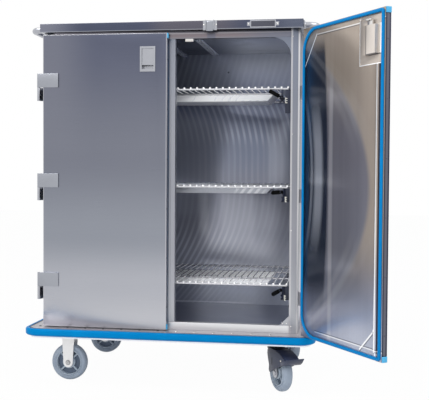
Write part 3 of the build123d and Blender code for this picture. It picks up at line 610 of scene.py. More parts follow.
class Look:
    """Every finish on the cart."""

    DOOR = Steel(
        "door_steel_face", FACE_SHADES, Grain.LEVEL, 0.32, 0.025, painter=Canvas.door_face
    )
    OPEN_DOOR = Steel(
        "door_steel_open", FACE_SHADES, Grain.LEVEL, 0.32, 0.06, turned=True,
        painter=Canvas.shaded_edge,
    )
    LINER = Steel(
        "liner_steel_open", LINER_SHADES, Grain.UPRIGHT, 0.22, 0.2, 0.5, 1.3, True,
        Canvas.streaked_liner,
    )
    CLOSED_LINER = Steel("liner_steel_closed", "8F8E92", Grain.UPRIGHT, 0.26, metal=0.6)
    # The inner walls, ceiling and channels are brightened by their gain as painted light against
    # the cabinet's shade.
    WALL = Steel(
        "inner_wall_steel", WALL_SHADES, Grain.UPRIGHT, 0.2, 0.08, 0.45, 2.6,
        painter=Canvas.brushed_lining,
    )
    OUTER = Steel("side_wall_steel", FACE_SHADES, Grain.UPRIGHT)
    CEILING = Steel(
        "ceiling_steel", "6E727D", metal=0.4, gain=2.6, painter=Canvas.shaded_ceiling
    )
    CHANNEL = Steel("ceiling_channel_steel", "B4B8C2", metal=0.4, gain=2.0)
    POST = Steel(
        "post_steel", POST_SHADES, Grain.UPRIGHT, 0.34, metal=0.75, painter=Canvas.post_lines
    )
    SILL = Steel("sill_steel", "E6E6E8", Grain.LEVEL, 0.36)
    HEADER = Steel("header_steel", HEADER_SHADES, Grain.LEVEL, painter=Canvas.header_lines)
    CAP = Steel("cap_steel_brushed", "53586B", Grain.LEVEL, 0.28, painter=Canvas.cap_tones)
    DECK = Steel(
        "deck_steel_brushed", "C2BEC3", Grain.LEVEL, 0.32, metal=0.7, painter=Canvas.deck_zones
    )
    FRAME = Steel("deck_frame_steel", "7A7B84", rough=0.36)
    BAND = Steel("bumper_channel_steel", "7A7B84", rough=0.5, metal=0.3, painter=Canvas.blue_lip)
    # Painted shade and reflection: the dark copy of the deck's rivets.
    RIVET = Steel("rivet_steel_dull", "34353F", rough=0.4, metal=0.6)
    STRAP = Steel("strap_steel_satin", "A6A9B1", rough=0.34)
    HOUSING = Steel(
        "latch_housing_steel", "B5ABA2", Grain.UPRIGHT, metal=0.5, gain=1.25, turned=True,
        painter=Canvas.housing_tones,
    )
    FITTING = Steel("fitting_steel_satin", "B4B6BD", rough=0.32)
    # Bright steel; on the deck's front right rivets it is a painted highlight.
    BRIGHT = Steel("bright_steel", "E6E4E1", rough=0.2)
    DARK = Steel("shaded_steel", "5B5C66")
    # The wires, their tips and the rods are one chrome; these copies are painted light and shade:
    # the wires brightened to stay light in shade, the tips bright as glints, the rods darker.
    WIRE = Steel(
        "shelf_chrome", "FFFEFC", Grain.NONE, 0.2, 0.05, 0.1, 1.6, painter=Canvas.wire_tones
    )
    TIP = Steel("shelf_tip_chrome", "FFFEFC", Grain.NONE, 0.2, 0.02, 0.2, 1.3)
    ROD = Steel("shelf_rod_chrome", "D8D8DC", Grain.NONE, 0.2, 0.05, 0.5)
    RACK = Steel("shelf_rack_steel", "8D909A", metal=0.6)
    # Painted light: the braces are near white and brightened so that they stay white in the
    # cabinet's shade.
    BRACE = Steel(
        "shelf_brace_steel", "F6F6F8", Grain.UPRIGHT, metal=0.2, gain=1.3,
        painter=Canvas.brace_tones,
    )
    FORK = Steel("zinc_plated_steel", "F0EFEF", rough=0.34, metal=0.6, painter=Canvas.axle_mark)
    SWIVEL = Steel("swivel_steel", "B9BAC0", rough=0.34, metal=0.7, painter=Canvas.dark_neck)
    BOLT = Steel("bolt_steel", "CFCBC4", rough=0.26)
    BUMPER = Moulded("bumper_vinyl", "0080C2", "0088CA", 0.3, sheen=0.04)
    SEAL = Moulded("seal_rubber", "007CBE", "0084C8", 0.42, 0.00003, sheen=0.12)
    BLOCK = Moulded("seal_end_block", "4CB4E6", "6AC3EC")
    TYRE = Moulded("tyre_rubber", "9AA6B6", "A8B3C1", 0.55, 0.00012, 24.0)
    HUB = Moulded("hub_plastic", "AEBAC7", "BCC7D2")
    # Painted shade: the hub's own plastic, darker in its pockets.
    POCKET = Moulded("hub_pocket", "5A6779", "67748A", 0.5)
    BRAKE = Moulded("brake_cover", "30364C", "3E455C", 0.36, 0.00008, sheen=0.35)
    GRIP = Moulded("grip_rubber", "070708", "151517", 0.6, 0.00015, sheen=0.1)
    CLAMP = Moulded("clamp_paint_dark", "1C2236", "2C3348")
    PAD = Moulded("clamp_pad", "DAD8D0", "ECEAE2", 0.5)
    SHADOW = Moulded("dark_recess", "14161C", "24272F", 0.6)


# Meshes


def ring_angles(steps: int) -> list[float]:
    """Divide a full turn into equal steps."""
    return [2 * math.pi * i / steps for i in range(steps)]


class Shape:
    """A mesh under construction, whose methods hand back the shape itself."""

    def __init__(self) -> None:
        """Start empty."""
        self.mesh = bmesh.new()

    def absorb(self, other: bmesh.types.BMesh, matrix: Matrix = STILL) -> "Shape":
        """Take in another mesh, which is freed.

        Args:
            other: The mesh.
            matrix: Where it goes.

        Returns:
            The shape.
        """
        other.transform(matrix)
        scrap = bpy.data.meshes.new("scrap")
        other.to_mesh(scrap)
        other.free()
        self.mesh.from_mesh(scrap)
        bpy.data.meshes.remove(scrap)
        return self

    def block(self, low: Point, high: Point, soft: float, steps: int = 2) -> "Shape":
        """Add a block with rounded edges.

        Args:
            low: Its lowest corner.
            high: Its highest corner.
            soft: The radius of its edges.
            steps: The number of faces round each edge.

        Returns:
            The shape.
        """
        part = bmesh.new()
        bmesh.ops.create_cube(part, size=1.0)
        size = Vector(high) - Vector(low)
        middle = (Vector(high) + Vector(low)) / 2
        part.transform(Matrix.Translation(middle) @ Matrix.Diagonal((*size, 1.0)))
        bmesh.ops.bevel(
            part, geom=part.edges[:], offset=soft, segments=steps, profile=0.5, affect="EDGES"
        )
        return self.absorb(part)

    def lathe(
        self, outline: Sequence[Span], steps: int, centre: Point = ORIGIN, axis: Point = (0, 1, 0)
    ) -> "Shape":
        """Add a turned form.

        Args:
            outline: Radius and distance along the axis of each ring, from one end to the other.
            steps: The number of faces round it.
            centre: The point at distance 0.
            axis: The axis, as a unit vector.

        Returns:
            The shape.
        """
        part = bmesh.new()
        rings = []
        for radius, along in outline:
            angles = ring_angles(steps) if radius > 1e-6 else [0.0]
            spots = [(radius * math.cos(a), radius * math.sin(a), along) for a in angles]
            rings.append([part.verts.new(spot) for spot in spots])
        for lower, upper in zip(rings, rings[1:]):
            for i in range(steps):
                corners = [lower[i % len(lower)], lower[(i + 1) % len(lower)]]
                corners += [upper[(i + 1) % len(upper)], upper[i % len(upper)]]
                unique = list(dict.fromkeys(corners))
                if len(unique) > 2:
                    part.faces.new(unique)
        bmesh.ops.recalc_face_normals(part, faces=part.faces[:])
        turn = UP.rotation_difference(Vector(axis)).to_matrix().to_4x4()
        return self.absorb(part, Matrix.Translation(centre) @ turn)

    def tube(self, path: Sequence[Vector], radius: float, sides: int) -> "Shape":
        """Add a round tube, closed at both ends.

        Args:
            path: The points of its centreline.
            radius: Its radius.
            sides: The number of faces round it.

        Returns:
            The shape.
        """
        part = bmesh.new()
        rings = []
        run = (path[1] - path[0]).normalized()
        side = run.orthogonal().normalized()
        for i, point in enumerate(path):
            ahead = (path[min(i + 1, len(path) - 1)] - path[max(i - 1, 0)]).normalized()
            side = (run.rotation_difference(ahead) @ side).normalized()
            run = ahead
            other = run.cross(side)
            arms = [math.cos(a) * side + math.sin(a) * other for a in ring_angles(sides)]
            rings.append([part.verts.new(point + radius * arm) for arm in arms])
        for lower, upper in zip(rings, rings[1:]):
            for k in range(sides):
                n = (k + 1) % sides
                part.faces.new((lower[k], lower[n], upper[n], upper[k]))
        part.faces.new(rings[0][::-1])
        part.faces.new(rings[-1])
        bmesh.ops.recalc_face_normals(part, faces=part.faces[:])
        return self.absorb(part)

    def prism(self, outline: Sequence[Span], depth: Span, soft: float) -> "Shape":
        """Add a plate drawn in X and Z, with rounded edges.

        Args:
            outline: The corners in X and Z.
            depth: Its limits in Y.
            soft: The radius of its edges.

        Returns:
            The shape.
        """
        part = bmesh.new()
        base = part.faces.new([part.verts.new((x, depth[0], z)) for x, z in outline])
        grown = bmesh.ops.extrude_face_region(part, geom=[base])
        moved = [item for item in grown["geom"] if isinstance(item, bmesh.types.BMVert)]
        bmesh.ops.translate(part, verts=moved, vec=(0, depth[1] - depth[0], 0))
        bmesh.ops.recalc_face_normals(part, faces=part.faces[:])
        edges = [e for e in part.edges if e.calc_face_angle(0.0) > SMOOTH_BELOW]
        bmesh.ops.bevel(part, geom=edges, offset=soft, segments=2, profile=0.5, affect="EDGES")
        return self.absorb(part)

    def moved(self, matrix: Matrix) -> "Shape":
        """Move the whole shape, and turn its faces back out if it was mirrored.

        Args:
            matrix: The move.

        Returns:
            The shape.
        """
        self.mesh.transform(matrix)
        if matrix.determinant() < 0:
            bmesh.ops.reverse_faces(self.mesh, faces=self.mesh.faces[:])
        return self

    def data(self, name: str) -> bpy.types.Mesh:
        """Finish the mesh.

        Args:
            name: Its name.

        Returns:
            The plain mesh.
        """
        mesh = bpy.data.meshes.new(name)
        self.mesh.to_mesh(mesh)
        self.mesh.free()
        return mesh


def arc_path(corners: Sequence[Point], radius: float, steps: int) -> list[Vector]:
    """Round the corners of a path.

    Args:
        corners: The corners, the ends among them.
        radius: The radius of each bend.
        steps: The number of runs in each bend.

    Returns:
        The path's points.
    """
    points = [Vector(corner) for corner in corners]
    path = [points[0]]
    for before, corner, after in zip(points, points[1:], points[2:]):
        into = (corner - before).normalized()
        out = (after - corner).normalized()
        start = corner - into * radius * math.tan(into.angle(out) / 2)
        centre = start + (out - into * into.dot(out)).normalized() * radius
        axis = into.cross(out).normalized()
        for i in range(steps + 1):
            turn = Matrix.Rotation(into.angle(out) * i / steps, 3, axis)
            path.append(centre + turn @ (start - centre))
    return path + [points[-1]]


def carried(mesh: bpy.types.Mesh, move: Matrix) -> bpy.types.Mesh:
    """Move a plain mesh, and turn its faces back out if it was mirrored.

    Args:
        mesh: The mesh.
        move: The move.

    Returns:
        The same mesh.
    """
    mesh.transform(move)
    if move.determinant() < 0:
        mesh.flip_normals()
    return mesh


def linked(name: str, data: bpy.types.ID) -> bpy.types.Object:
    """Put a mesh, a lamp or a camera into the scene as an object.

    Args:
        name: The object's name.
        data: The mesh, lamp or camera.

    Returns:
        The object.
    """
    made = bpy.data.objects.new(name, data)
    bpy.context.scene.collection.objects.link(made)
    return made


def coated(mesh: bpy.types.Mesh, finish: Finish) -> None:
    """Give a mesh one finish."""
    mesh.materials.clear()
    mesh.materials.append(material_of(finish))


def settle(
    name: str, mesh: bpy.types.Mesh, finish: Finish, body: str = "cart",
    stands_for: Sequence[str] = (), sharpen: bool = True,
) -> None:
    """Turn a mesh into a piece that rides on a body.

    Args:
        name: The piece's name.
        mesh: Its mesh, in place.
        finish: Its finish.
        body: The body that carries it.
        stands_for: The CAD nodes that it replaces.
        sharpen: Whether sharp edges are marked from their angles.
    """
    coated(mesh, finish)
    if sharpen:
        mesh.polygons.foreach_set("use_smooth", [True] * len(mesh.polygons))
        mesh.set_sharp_from_angle(angle=SMOOTH_BELOW)
    piece = linked(name, mesh)
    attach(piece, body)
    if stands_for:
        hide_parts(*stands_for)
    LOG.info("%s rides on %s with %d faces", name, body, len(mesh.polygons))


def baked(source: bpy.types.Object) -> bpy.types.Mesh:
    """Turn an object with modifiers into a plain mesh, and remove the object.

    Args:
        source: The object, linked to the scene.

    Returns:
        The evaluated mesh.
    """
    graph = bpy.context.evaluated_depsgraph_get()
    graph.update()
    mesh = bpy.data.meshes.new_from_object(source.evaluated_get(graph))
    old = source.data
    bpy.data.objects.remove(source)
    bpy.data.meshes.remove(old)
    return mesh


def dress(node: str, finish: Finish) -> None:
    """Give a CAD node a finish and leave its shape alone."""
    coated(FRAME["nodes"][node].data, finish)
    LOG.info("%s keeps its shape", node)


def refine(node: str, finish: Finish, soft: float) -> None:
    """Replace a CAD node by a copy whose edges are rounded as on the real piece.

    Args:
        node: The node's name.
        finish: Its finish.
        soft: The radius of its edges.
    """
    cad = FRAME["nodes"][node]
    work = bmesh.new()
    work.from_mesh(cad.data)
    bmesh.ops.remove_doubles(work, verts=work.verts[:], dist=0.00001)
    flat = math.radians(0.5)
    bmesh.ops.dissolve_limit(work, angle_limit=flat, verts=work.verts[:], edges=work.edges[:])
    name = node + "_fine"
    mesh = bpy.data.meshes.new(name)
    work.to_mesh(mesh)
    work.free()
    mesh.polygons.foreach_set("use_smooth", [True] * len(mesh.polygons))
    source = linked(node + "_work", mesh)
    bevel = source.modifiers.new("edges", "BEVEL")
    bevel.limit_method = "ANGLE"
    bevel.angle_limit = SMOOTH_BELOW
    bevel.width = soft
    bevel.segments = 2
    bevel.harden_normals = True
    settle(name, baked(source), finish, str(cad["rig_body"]), [node], False)


# Geometry node trees


class Growth(Nodes):
    """A geometry node tree with named inputs, which grows plain meshes."""

    KINDS = {float: "Float", int: "Int", tuple: "Vector", bpy.types.Material: "Material"}

    def __init__(self, name: str, **inputs: type) -> None:
        """Make the tree's interface.

        Args:
            name: The tree's name.
            **inputs: The type of each input, by name.
        """
        super().__init__(bpy.data.node_groups.new(name, "GeometryNodeTree"))
        face = self.tree.interface
        face.new_socket("Geometry", in_out="OUTPUT", socket_type="NodeSocketGeometry")
        self.names: dict[str, str] = {}
        for label, kind in {**inputs, "Finish": bpy.types.Material}.items():
            type_name = f"NodeSocket{self.KINDS[kind]}"
            made = face.new_socket(label, in_out="INPUT", socket_type=type_name)
            self.names[label] = made.identifier
        self.source = self.add("NodeGroupInput")
        self.sink = self.add("NodeGroupOutput")

    def __getitem__(self, label: str) -> Sock:
        """Give one of the tree's inputs."""
        return Sock(self, self.source.outputs[label])

    def close(self, geometry: Sock) -> "Growth":
        """End the tree with its instances made real and its material set.

        Args:
            geometry: What the tree has made.

        Returns:
            The tree.
        """
        real = self.sock("GeometryNodeRealizeInstances", {0: geometry})
        done = self.sock("GeometryNodeSetMaterial", {0: real, "Material": self["Finish"]})
        self.put(self.sink.inputs[0], done)
        return self

    def repeat(self, piece: Sock, **values: Sock) -> "Growth":
        """Set a piece along the row that Start, Step and Count give, and end the tree.

        Args:
            piece: The geometry.
            **values: The instances' rotation and scale.

        Returns:
            The tree.
        """
        line = {"Count": self["Count"], "Start Location": self["Start"], "Offset": self["Step"]}
        row = self.sock("GeometryNodeMeshLine", line, mode="OFFSET")
        spread = {"Points": row, "Instance": piece, **values}
        return self.close(self.sock("GeometryNodeInstanceOnPoints", spread))

    def grow(self, name: str, finish: Finish, **values: Any) -> bpy.types.Mesh:
        """Grow a plain mesh.

        Args:
            name: The mesh's name.
            finish: Its finish.
            **values: The tree's inputs, by name.

        Returns:
            The mesh.
        """
        source = linked(name, bpy.data.meshes.new(name + "_seed"))
        modifier = source.modifiers.new("growth", "NODES")
        modifier.node_group = self.tree
        for label, value in {**values, "Finish": material_of(finish)}.items():
            modifier[self.names[label]] = value
        return baked(source)


def heads_tree() -> Growth:
    """Build the tree that sets domed heads in a row.

    Returns:
        The tree.
    """
    growth = Growth(
        "Heads in a row", Start=tuple, Step=tuple, Count=int, Facing=tuple, Radius=float,
        Height=float,
    )
    ball = growth.sock("GeometryNodeMeshUVSphere", {"Segments": 14, "Rings": 8, "Radius": 1.0})
    sizes = {0: growth["Radius"], 1: growth["Radius"], 2: growth["Height"]}
    facing = {"Vector": growth["Facing"]}
    turn = growth.sock("FunctionNodeAlignRotationToVector", facing, axis="Z")
    return growth.repeat(ball, Rotation=turn, Scale=growth.sock("ShaderNodeCombineXYZ", sizes))


def wires_tree() -> Growth:
    """Build the tree that lays parallel round wires with domed ends.

    Returns:
        The tree.
    """
    growth = Growth(
        "Parallel wires", Start=tuple, Step=tuple, Count=int, Run=tuple, Radius=float, Sides=int
    )
    run, radius = growth["Run"], growth["Radius"]
    line = growth.sock("GeometryNodeCurvePrimitiveLine", {"End": run})
    ring = growth.sock(
        "GeometryNodeCurvePrimitiveCircle", {"Resolution": growth["Sides"], "Radius": radius}
    )
    values = {"Curve": line, "Profile Curve": ring, "Fill Caps": True}
    rod = growth.sock("GeometryNodeCurveToMesh", values)
    tip = growth.sock("GeometryNodeMeshUVSphere", {"Segments": 8, "Rings": 6, "Radius": radius})
    far = growth.sock("GeometryNodeTransform", {"Geometry": tip, "Translation": run})
    wire = growth.add("GeometryNodeJoinGeometry")
    for part in (rod, tip, far):
        growth.put(wire.inputs[0], part)
    values = {"Geometry": Sock(growth, wire.outputs[0]), "Shade Smooth": True}
    return growth.repeat(growth.sock("GeometryNodeSetShadeSmooth", values))


def band_tree() -> Growth:
    """Build the tree that sweeps a rounded profile round a rectangle with rounded corners.

    Returns:
        The tree.
    """
    names = ("Width", "Depth", "Left", "Right", "Thick", "High", "Round")
    growth = Growth("Band round a rectangle", **{name: float for name in names})
    rectangle, fillet = "GeometryNodeCurvePrimitiveQuadrilateral", "GeometryNodeFilletCurve"
    path = growth.sock(rectangle, {"Width": growth["Width"], "Height": growth["Depth"]})
    x = growth.sock("ShaderNodeSeparateXYZ", {0: growth.sock("GeometryNodeInputPosition")})
    right = growth.sock("FunctionNodeCompare", {0: x, 1: 0.0}, operation="GREATER_THAN")
    values = {"Switch": right, "False": growth["Left"], "True": growth["Right"]}
    radius = growth.sock("GeometryNodeSwitch", values, input_type="FLOAT")
    rounded = growth.sock(fillet, {"Curve": path, "Radius": radius, "Count": 14}, mode="POLY")
    level = growth.sock("GeometryNodeSetCurveNormal", {"Curve": rounded}, mode="Z_UP")
    shape = growth.sock(rectangle, {"Width": growth["Thick"], "Height": growth["High"]})
    values = {"Curve": shape, "Radius": growth["Round"], "Count": 6}
    values = {"Curve": level, "Profile Curve": growth.sock(fillet, values, mode="POLY")}
    return growth.close(growth.sock("GeometryNodeCurveToMesh", values))


@dataclass
class Kit:
    """The node trees that several sub-assemblies share."""

    heads: Growth = field(default_factory=heads_tree)
    wires: Growth = field(default_factory=wires_tree)
    band: Growth = field(default_factory=band_tree)

    def row(
        self, name: str, finish: Finish, start: Point, step: Point, count: int, facing: Point,
        size: Span = (0.0032, 0.0016), slot: str = "fitting_steel", body: str = "cart",
        move: Matrix = STILL, stands_for: Sequence[str] = (),
    ) -> None:
        """Set a row of rivets or screws.

        Args:
            name: The piece's name.
            finish: Its finish.
            start: The first head's place.
            step: The step to the next one.
            count: The number of heads.
            facing: The way they face.
            size: A head's radius and height.
            slot: A material slot's name; it is not used.
            body: The body that carries it.
            move: A move of the whole row.
            stands_for: The CAD nodes that it replaces.
        """
        values = {"Start": start, "Step": step, "Count": count, "Facing": facing}
        mesh = self.heads.grow(name, finish, **values, Radius=size[0], Height=size[1])
        settle(name, carried(mesh, move), finish, body, stands_for)


# The cart's sub-assemblies


@dataclass
class Assembly:
    """A sub-assembly, which draws on the shared node trees."""

    kit: Kit


@dataclass
class Base(Assembly):
    """The deck with its channel, bumper and rivets, and the members under it."""

    width: float = 1.154
    depth: float = 0.798
    corner: float = 0.045
    top: float = 0.235
    gap: float = 0.002
    bumper_wall: float = 0.018
    bumper_high: float = 0.0295
    bumper_mid: float = 0.22125
    bumper_round: float = 0.0088
    pitch: float = 0.076
    inset: float = 0.035

    def build(self) -> None:
        """Build and dress the base."""
        dress("base_deck", Look.DECK)
        refine("bumper_channel", Look.BAND, 0.0004)
        refine("undercarriage", Look.FRAME, 0.0008)
        self.bumper()
        self.rivets()

    def bumper(self) -> None:
        """Sweep the bumper round the deck."""
        out = self.gap + self.bumper_wall / 2
        mesh = self.kit.band.grow(
            "bumper_band", Look.BUMPER, Width=self.width + 2 * out, Depth=self.depth + 2 * out,
            Left=self.corner + out, Right=self.corner + out, Thick=self.bumper_wall,
            High=self.bumper_high, Round=self.bumper_round,
        )
        carried(mesh, Matrix.Translation((0, 0, self.bumper_mid)))
        settle("bumper_band", mesh, Look.BUMPER, stands_for=["bumper"])

    def rivets(self) -> None:
        """Set the rows of rivets on the deck's front and sides."""
        half_w, half_d = self.width / 2 - self.inset, self.depth / 2 - self.inset
        across = int((self.width - 2 * self.corner) / self.pitch) // 2
        along = int((self.depth - 2 * self.corner) / self.pitch)
        low = -along * self.pitch / 2
        nodes = ["rivets_and_screws"]
        # The deck's rivets are all alike: the front right row is painted bright as highlights, the
        # others dark as painted shade and reflection.
        for name, x, y, right, back, count, finish in (
            ("front_right", self.pitch / 2, -half_d, 1, 0, across, Look.BRIGHT),
            ("front_left", -self.pitch / 2, -half_d, -1, 0, across, Look.RIVET),
            ("right", half_w, low, 0, 1, along + 1, Look.RIVET),
            ("left", -half_w, low, 0, 1, along + 1, Look.RIVET),
        ):
            start, step = (x, y, self.top), (self.pitch * right, self.pitch * back, 0.0)
            self.kit.row(
                f"deck_rivets_{name}", finish, start, step, count, (0, 0, 1), (0.0055, 0.002),
                stands_for=nodes,
            )
            nodes = []


@dataclass
class Cabinet(Assembly):
    """The walls, ceiling, door frame and roof cap."""

    side: float = 0.5248
    back: float = 0.3896
    front: float = -0.2917
    low: float = 0.2352
    high: float = 1.4453

    def build(self) -> None:
        """Dress the cabinet's sheet metal and set its rivets."""
        for node, finish, soft in (
            ("back_wall", Look.WALL, 0.0004), ("side_wall_right", Look.WALL, 0.0004),
            ("side_wall_left", Look.WALL, 0.0004), ("ceiling_panel", Look.CEILING, 0.0004),
            ("ceiling_channels", Look.CHANNEL, 0.0004), ("door_posts", Look.POST, 0.0009),
            ("header_rail", Look.HEADER, 0.0009), ("threshold", Look.SILL, 0.0009),
            ("corner_plates", Look.POST, 0.0004), ("latch_keepers", Look.BRIGHT, 0.0008),
            ("roof_cap", Look.CAP, 0.0009),
        ):
            refine(node, finish, soft)
        self.cladding()
        for name, finish, start, step, count, size in (
            ("back_wall", Look.SHADOW, (-0.16, 0.388, 1.36), (0.3, 0, 0), 2, (0.004, 0.0016)),
            ("post", Look.BRIGHT, (0.4955, -0.3217, 0.262), (0, 0, 0.385), 4, (0.0025, 0.0012)),
            ("gusset", Look.BRIGHT, (0.478, -0.3217, 0.274), (-0.014, 0, 0), 2, (0.0025, 0.0012)),
        ):
            self.kit.row(f"{name}_rivets", finish, start, step, count, (0, -1, 0), size)

    def cladding(self) -> None:
        """Clad the outside of the side walls and the back in outer steel, a hair inside the box."""
        side, back, outer = self.side, self.back, self.side + 0.0008
        for name, low_x, low_y, high_x, high_y in (
            ("side_skin_right", side, self.front, outer, back),
            ("side_skin_left", -outer, self.front, -side, back),
            ("back_skin", -side, back, side, back + 0.001),
        ):
            shape = Shape().block((low_x, low_y, self.low), (high_x, high_y, self.high), 0.0002)
            settle(name, shape.data(name), Look.OUTER)


@dataclass
class RoofFittings(Assembly):
    """The flip catch, the card holder and the push handles on the roof cap."""

    mid: float = 1.46275
    side: float = 0.5374
    half: float = 0.303
    out: float = 0.05
    radius: float = 0.0127
    bend: float = 0.036
    flange: float = 0.004
    flange_half: Span = (0.026, 0.016)
    screw_half: float = 0.0209

    def build(self) -> None:
        """Build and dress the fittings."""
        refine("card_holder", Look.FITTING, 0.0006)
        refine("catch_base", Look.FITTING, 0.0008)
        refine("flip_catch", Look.STRAP, 0.0008)
        window = Shape().block((0.3325, -0.3576, 1.4518), (0.4255, -0.3574, 1.4737), 0.00005)
        settle("card_window", window.data("card_window"), Look.DARK)
        screws = ((0.322, 0.114, -0.3575), (0.14416, 0.04768, -0.3585))
        for index, (x, step, y) in enumerate(screws):
            self.kit.row(
                f"front_screws_{index}", Look.BRIGHT, (x, y, self.mid), (step, 0, 0), 2,
                (0, -1, 0), (0.0034, 0.0016),
            )
        self.handle("right", 1)
        self.handle("left", -1)

    def handle(self, label: str, sign: int) -> None:
        """Bend one push handle and set its flanges and screws.

        Args:
            label: The side's name.
            sign: 1 on the right and -1 on the left.
        """
        half, mid = self.half, self.mid
        root, far = sign * (self.side + 0.002), sign * (self.side + self.out)
        corners = [(root, -half, mid), (far, -half, mid), (far, half, mid), (root, half, mid)]
        shape = Shape().tube(arc_path(corners, self.bend, 14), self.radius, 28)
        seat = sign * (self.side + self.flange)
        weld = [(-0.001, 0.0), (0.0022, 0.0), (0.0012, 0.0016), (-0.001, 0.0026)]
        ring = [(self.radius + more, along) for more, along in weld]
        wide, tall = self.flange_half
        for y in (-half, half):
            xs = sorted((sign * self.side, seat))
            shape.block((xs[0], y - wide, mid - tall), (xs[1], y + wide, mid + tall), 0.001)
            shape.lathe(ring, 32, (seat, y, mid), (sign, 0, 0))
        node = f"push_handle_{label}"
        settle(f"{node}_tube", shape.data(node), Look.FITTING, "cart", [node])
        for end, y in (("front", -half), ("rear", half)):
            start, step = (seat, y - self.screw_half, mid), (0, 2 * self.screw_half, 0)
            self.kit.row(f"{node}_screws_{end}", Look.BOLT, start, step, 2, (sign, 0, 0))


@dataclass
class Shelf(Assembly):
    """One wire shelf with the grip at its right front corner.

    The drop, tilt and yaw say how far the grip's pivot hangs below the shelf and how it is turned.
    """

    name: str
    level: float
    drop: float
    tilt: float
    yaw: float
    hanger: float
    width: float = 0.956
    depth: float = 0.662
    front: float = -0.287
    corner: Span = (0.452, -0.3006)
    rod: float = 0.004
    wire: float = 0.0022
    wires: int = 37

    def lay(self) -> None:
        """Lay the rods, the wires and the wires' front tips."""
        half, rod, wire = self.width / 2, self.rod, self.wire
        grow = self.kit.wires.grow
        rods = grow(
            "rods", Look.ROD, Start=(-half + rod, self.front, self.level), Count=4, Sides=16,
            Step=(0, self.depth / 3, 0), Run=(self.width - 2 * rod, 0, 0), Radius=rod,
        )
        settle(f"shelf_rods_{self.name}", rods, Look.ROD)
        step = ((self.width - 2 * wire) / (self.wires - 1), 0, 0)
        first = (-half + wire, self.front - 0.0018, self.level + 0.0054)
        wires = grow(
            "wires", Look.WIRE, Start=first, Step=step, Count=self.wires, Sides=10,
            Run=(0, self.depth + 0.0036, 0), Radius=wire,
        )
        name, nodes = f"shelf_wires_{self.name}", [f"shelf_{self.name}"]
        settle(name, wires, Look.WIRE, "cart", nodes)
        self.kit.row(
            f"shelf_tips_{self.name}", Look.TIP, first, step, self.wires, (0, -1, 0),
            (0.0042, 0.0038), "shelf_wire",
        )

    @property
    def place(self) -> Matrix:
        """The place of the grip's pivot."""
        turn = Matrix.Rotation(math.radians(self.yaw), 4, "Z")
        return Matrix.Translation((*self.corner, self.level - self.drop)) @ turn

    def grip(self) -> None:
        """Turn the ribbed grip with its eye and arm."""
        outline = [(0.0, -0.058), (0.006, -0.058), (0.0082, -0.0565)]
        for k in range(9):
            at = -0.0545 + k * 0.0044
            outline += [(0.0085, at), (0.0085, at + 0.0022)]
            outline += [(0.0074, at + 0.0028), (0.0074, at + 0.0038)]
        outline += [(0.0085, -0.0155), (0.007, -0.014), (0.003, -0.014), (0.003, -0.0062)]
        flipped = [(r, -a) for r, a in outline][::-1]
        eye = [(0.00305, -0.004), (0.0065, -0.004), (0.007, -0.0034), (0.007, 0.0034)]
        eye += [(0.0065, 0.004), (0.00305, 0.004), (0.00305, -0.004)]
        shape = Shape().lathe(flipped, 28, axis=(-1, 0, 0)).lathe(eye, 32)
        tilt = Matrix.Rotation(math.radians(self.tilt), 4, "Y")
        name = f"grip_{self.name}"
        mesh = shape.moved(self.place @ tilt).data(name)
        settle(name, mesh, Look.GRIP, name, [f"shelf_{name}"])


@dataclass
class Shelves(Assembly):
    """The three shelves, what carries them and their clamps."""

    shelves: tuple[Shelf, ...] = field(init=False)
    clamp_y: Span = (0.009, 0.017)
    pad_y: Span = (0.009, 0.0131)

    def __post_init__(self) -> None:
        """Describe the shelves."""
        self.shelves = (
            Shelf(self.kit, "lower", 0.422, 0.017, -24.0, -50.0, 0.054),
            Shelf(self.kit, "middle", 0.818, 0.018, -4.0, -48.0, 0.054),
            Shelf(self.kit, "upper", 1.214, 0.037, 29.0, 0.0, 0.094),
        )

    def build(self) -> None:
        """Build and dress the shelves."""
        refine("shelf_supports", Look.RACK, 0.0005)
        refine("shelf_braces", Look.BRACE, 0.0004)
        for shelf in self.shelves:
            shelf.lay()
            shelf.grip()
        self.clamps()

    def clamps(self) -> None:
        """Build the struts, feet, pads and hangers below the shelves' front rods."""
        strut, foot, pad, hanger = Shape(), Shape(), Shape(), Shape()
        (near, far), (pad_near, pad_far) = self.clamp_y, self.pad_y
        for shelf in self.shelves:
            top = shelf.drop - 0.034
            mid = top - 0.013
            low, high = (-0.004, near, top - 0.002), (0.004, far, shelf.drop - 0.0041)
            parts = [(strut, Shape().block(low, high, 0.001))]
            for turn in (-42.0, 42.0):
                bar = Shape().block((-0.014, near, -0.0034), (0.014, far, 0.0034), 0.001)
                tilt = Matrix.Rotation(math.radians(turn), 4, "Y")
                parts.append((foot, bar.moved(Matrix.Translation((0.0, 0.0, mid)) @ tilt)))
            teeth = [(0.0115, 0.0145, -0.011, 0.011)]
            teeth += [(0.0135, 0.021, z - 0.0016, z + 0.0024) for z in (-0.0095, -0.001, 0.0075)]
            for x0, x1, z0, z1 in teeth:
                low, high = (x0, pad_near, mid + z0), (x1, pad_far, mid + z1)
                parts.append((pad, Shape().block(low, high, 0.0008)))
            pin = [(0.0, -0.0045), (0.003, -0.0045), (0.003, far), (0.0, far)]
            parts.append((strut, Shape().lathe(pin, 20)))
            for shape, part in parts:
                shape.absorb(part.moved(shelf.place).mesh)
            level = shelf.level - shelf.rod
            hanger.block((0.464, -0.287, level - shelf.hanger), (0.487, -0.283, level), 0.0008)
        nodes = ["shelf_clamps"]
        for name, shape, finish in (
            ("struts", strut, Look.CLAMP), ("feet", foot, Look.CLAMP), ("pads", pad, Look.PAD),
            ("hangers", hanger, Look.CLAMP),
        ):
            name = f"clamp_{name}"
            settle(name, shape.data(name), finish, "cart", nodes)
            nodes = []


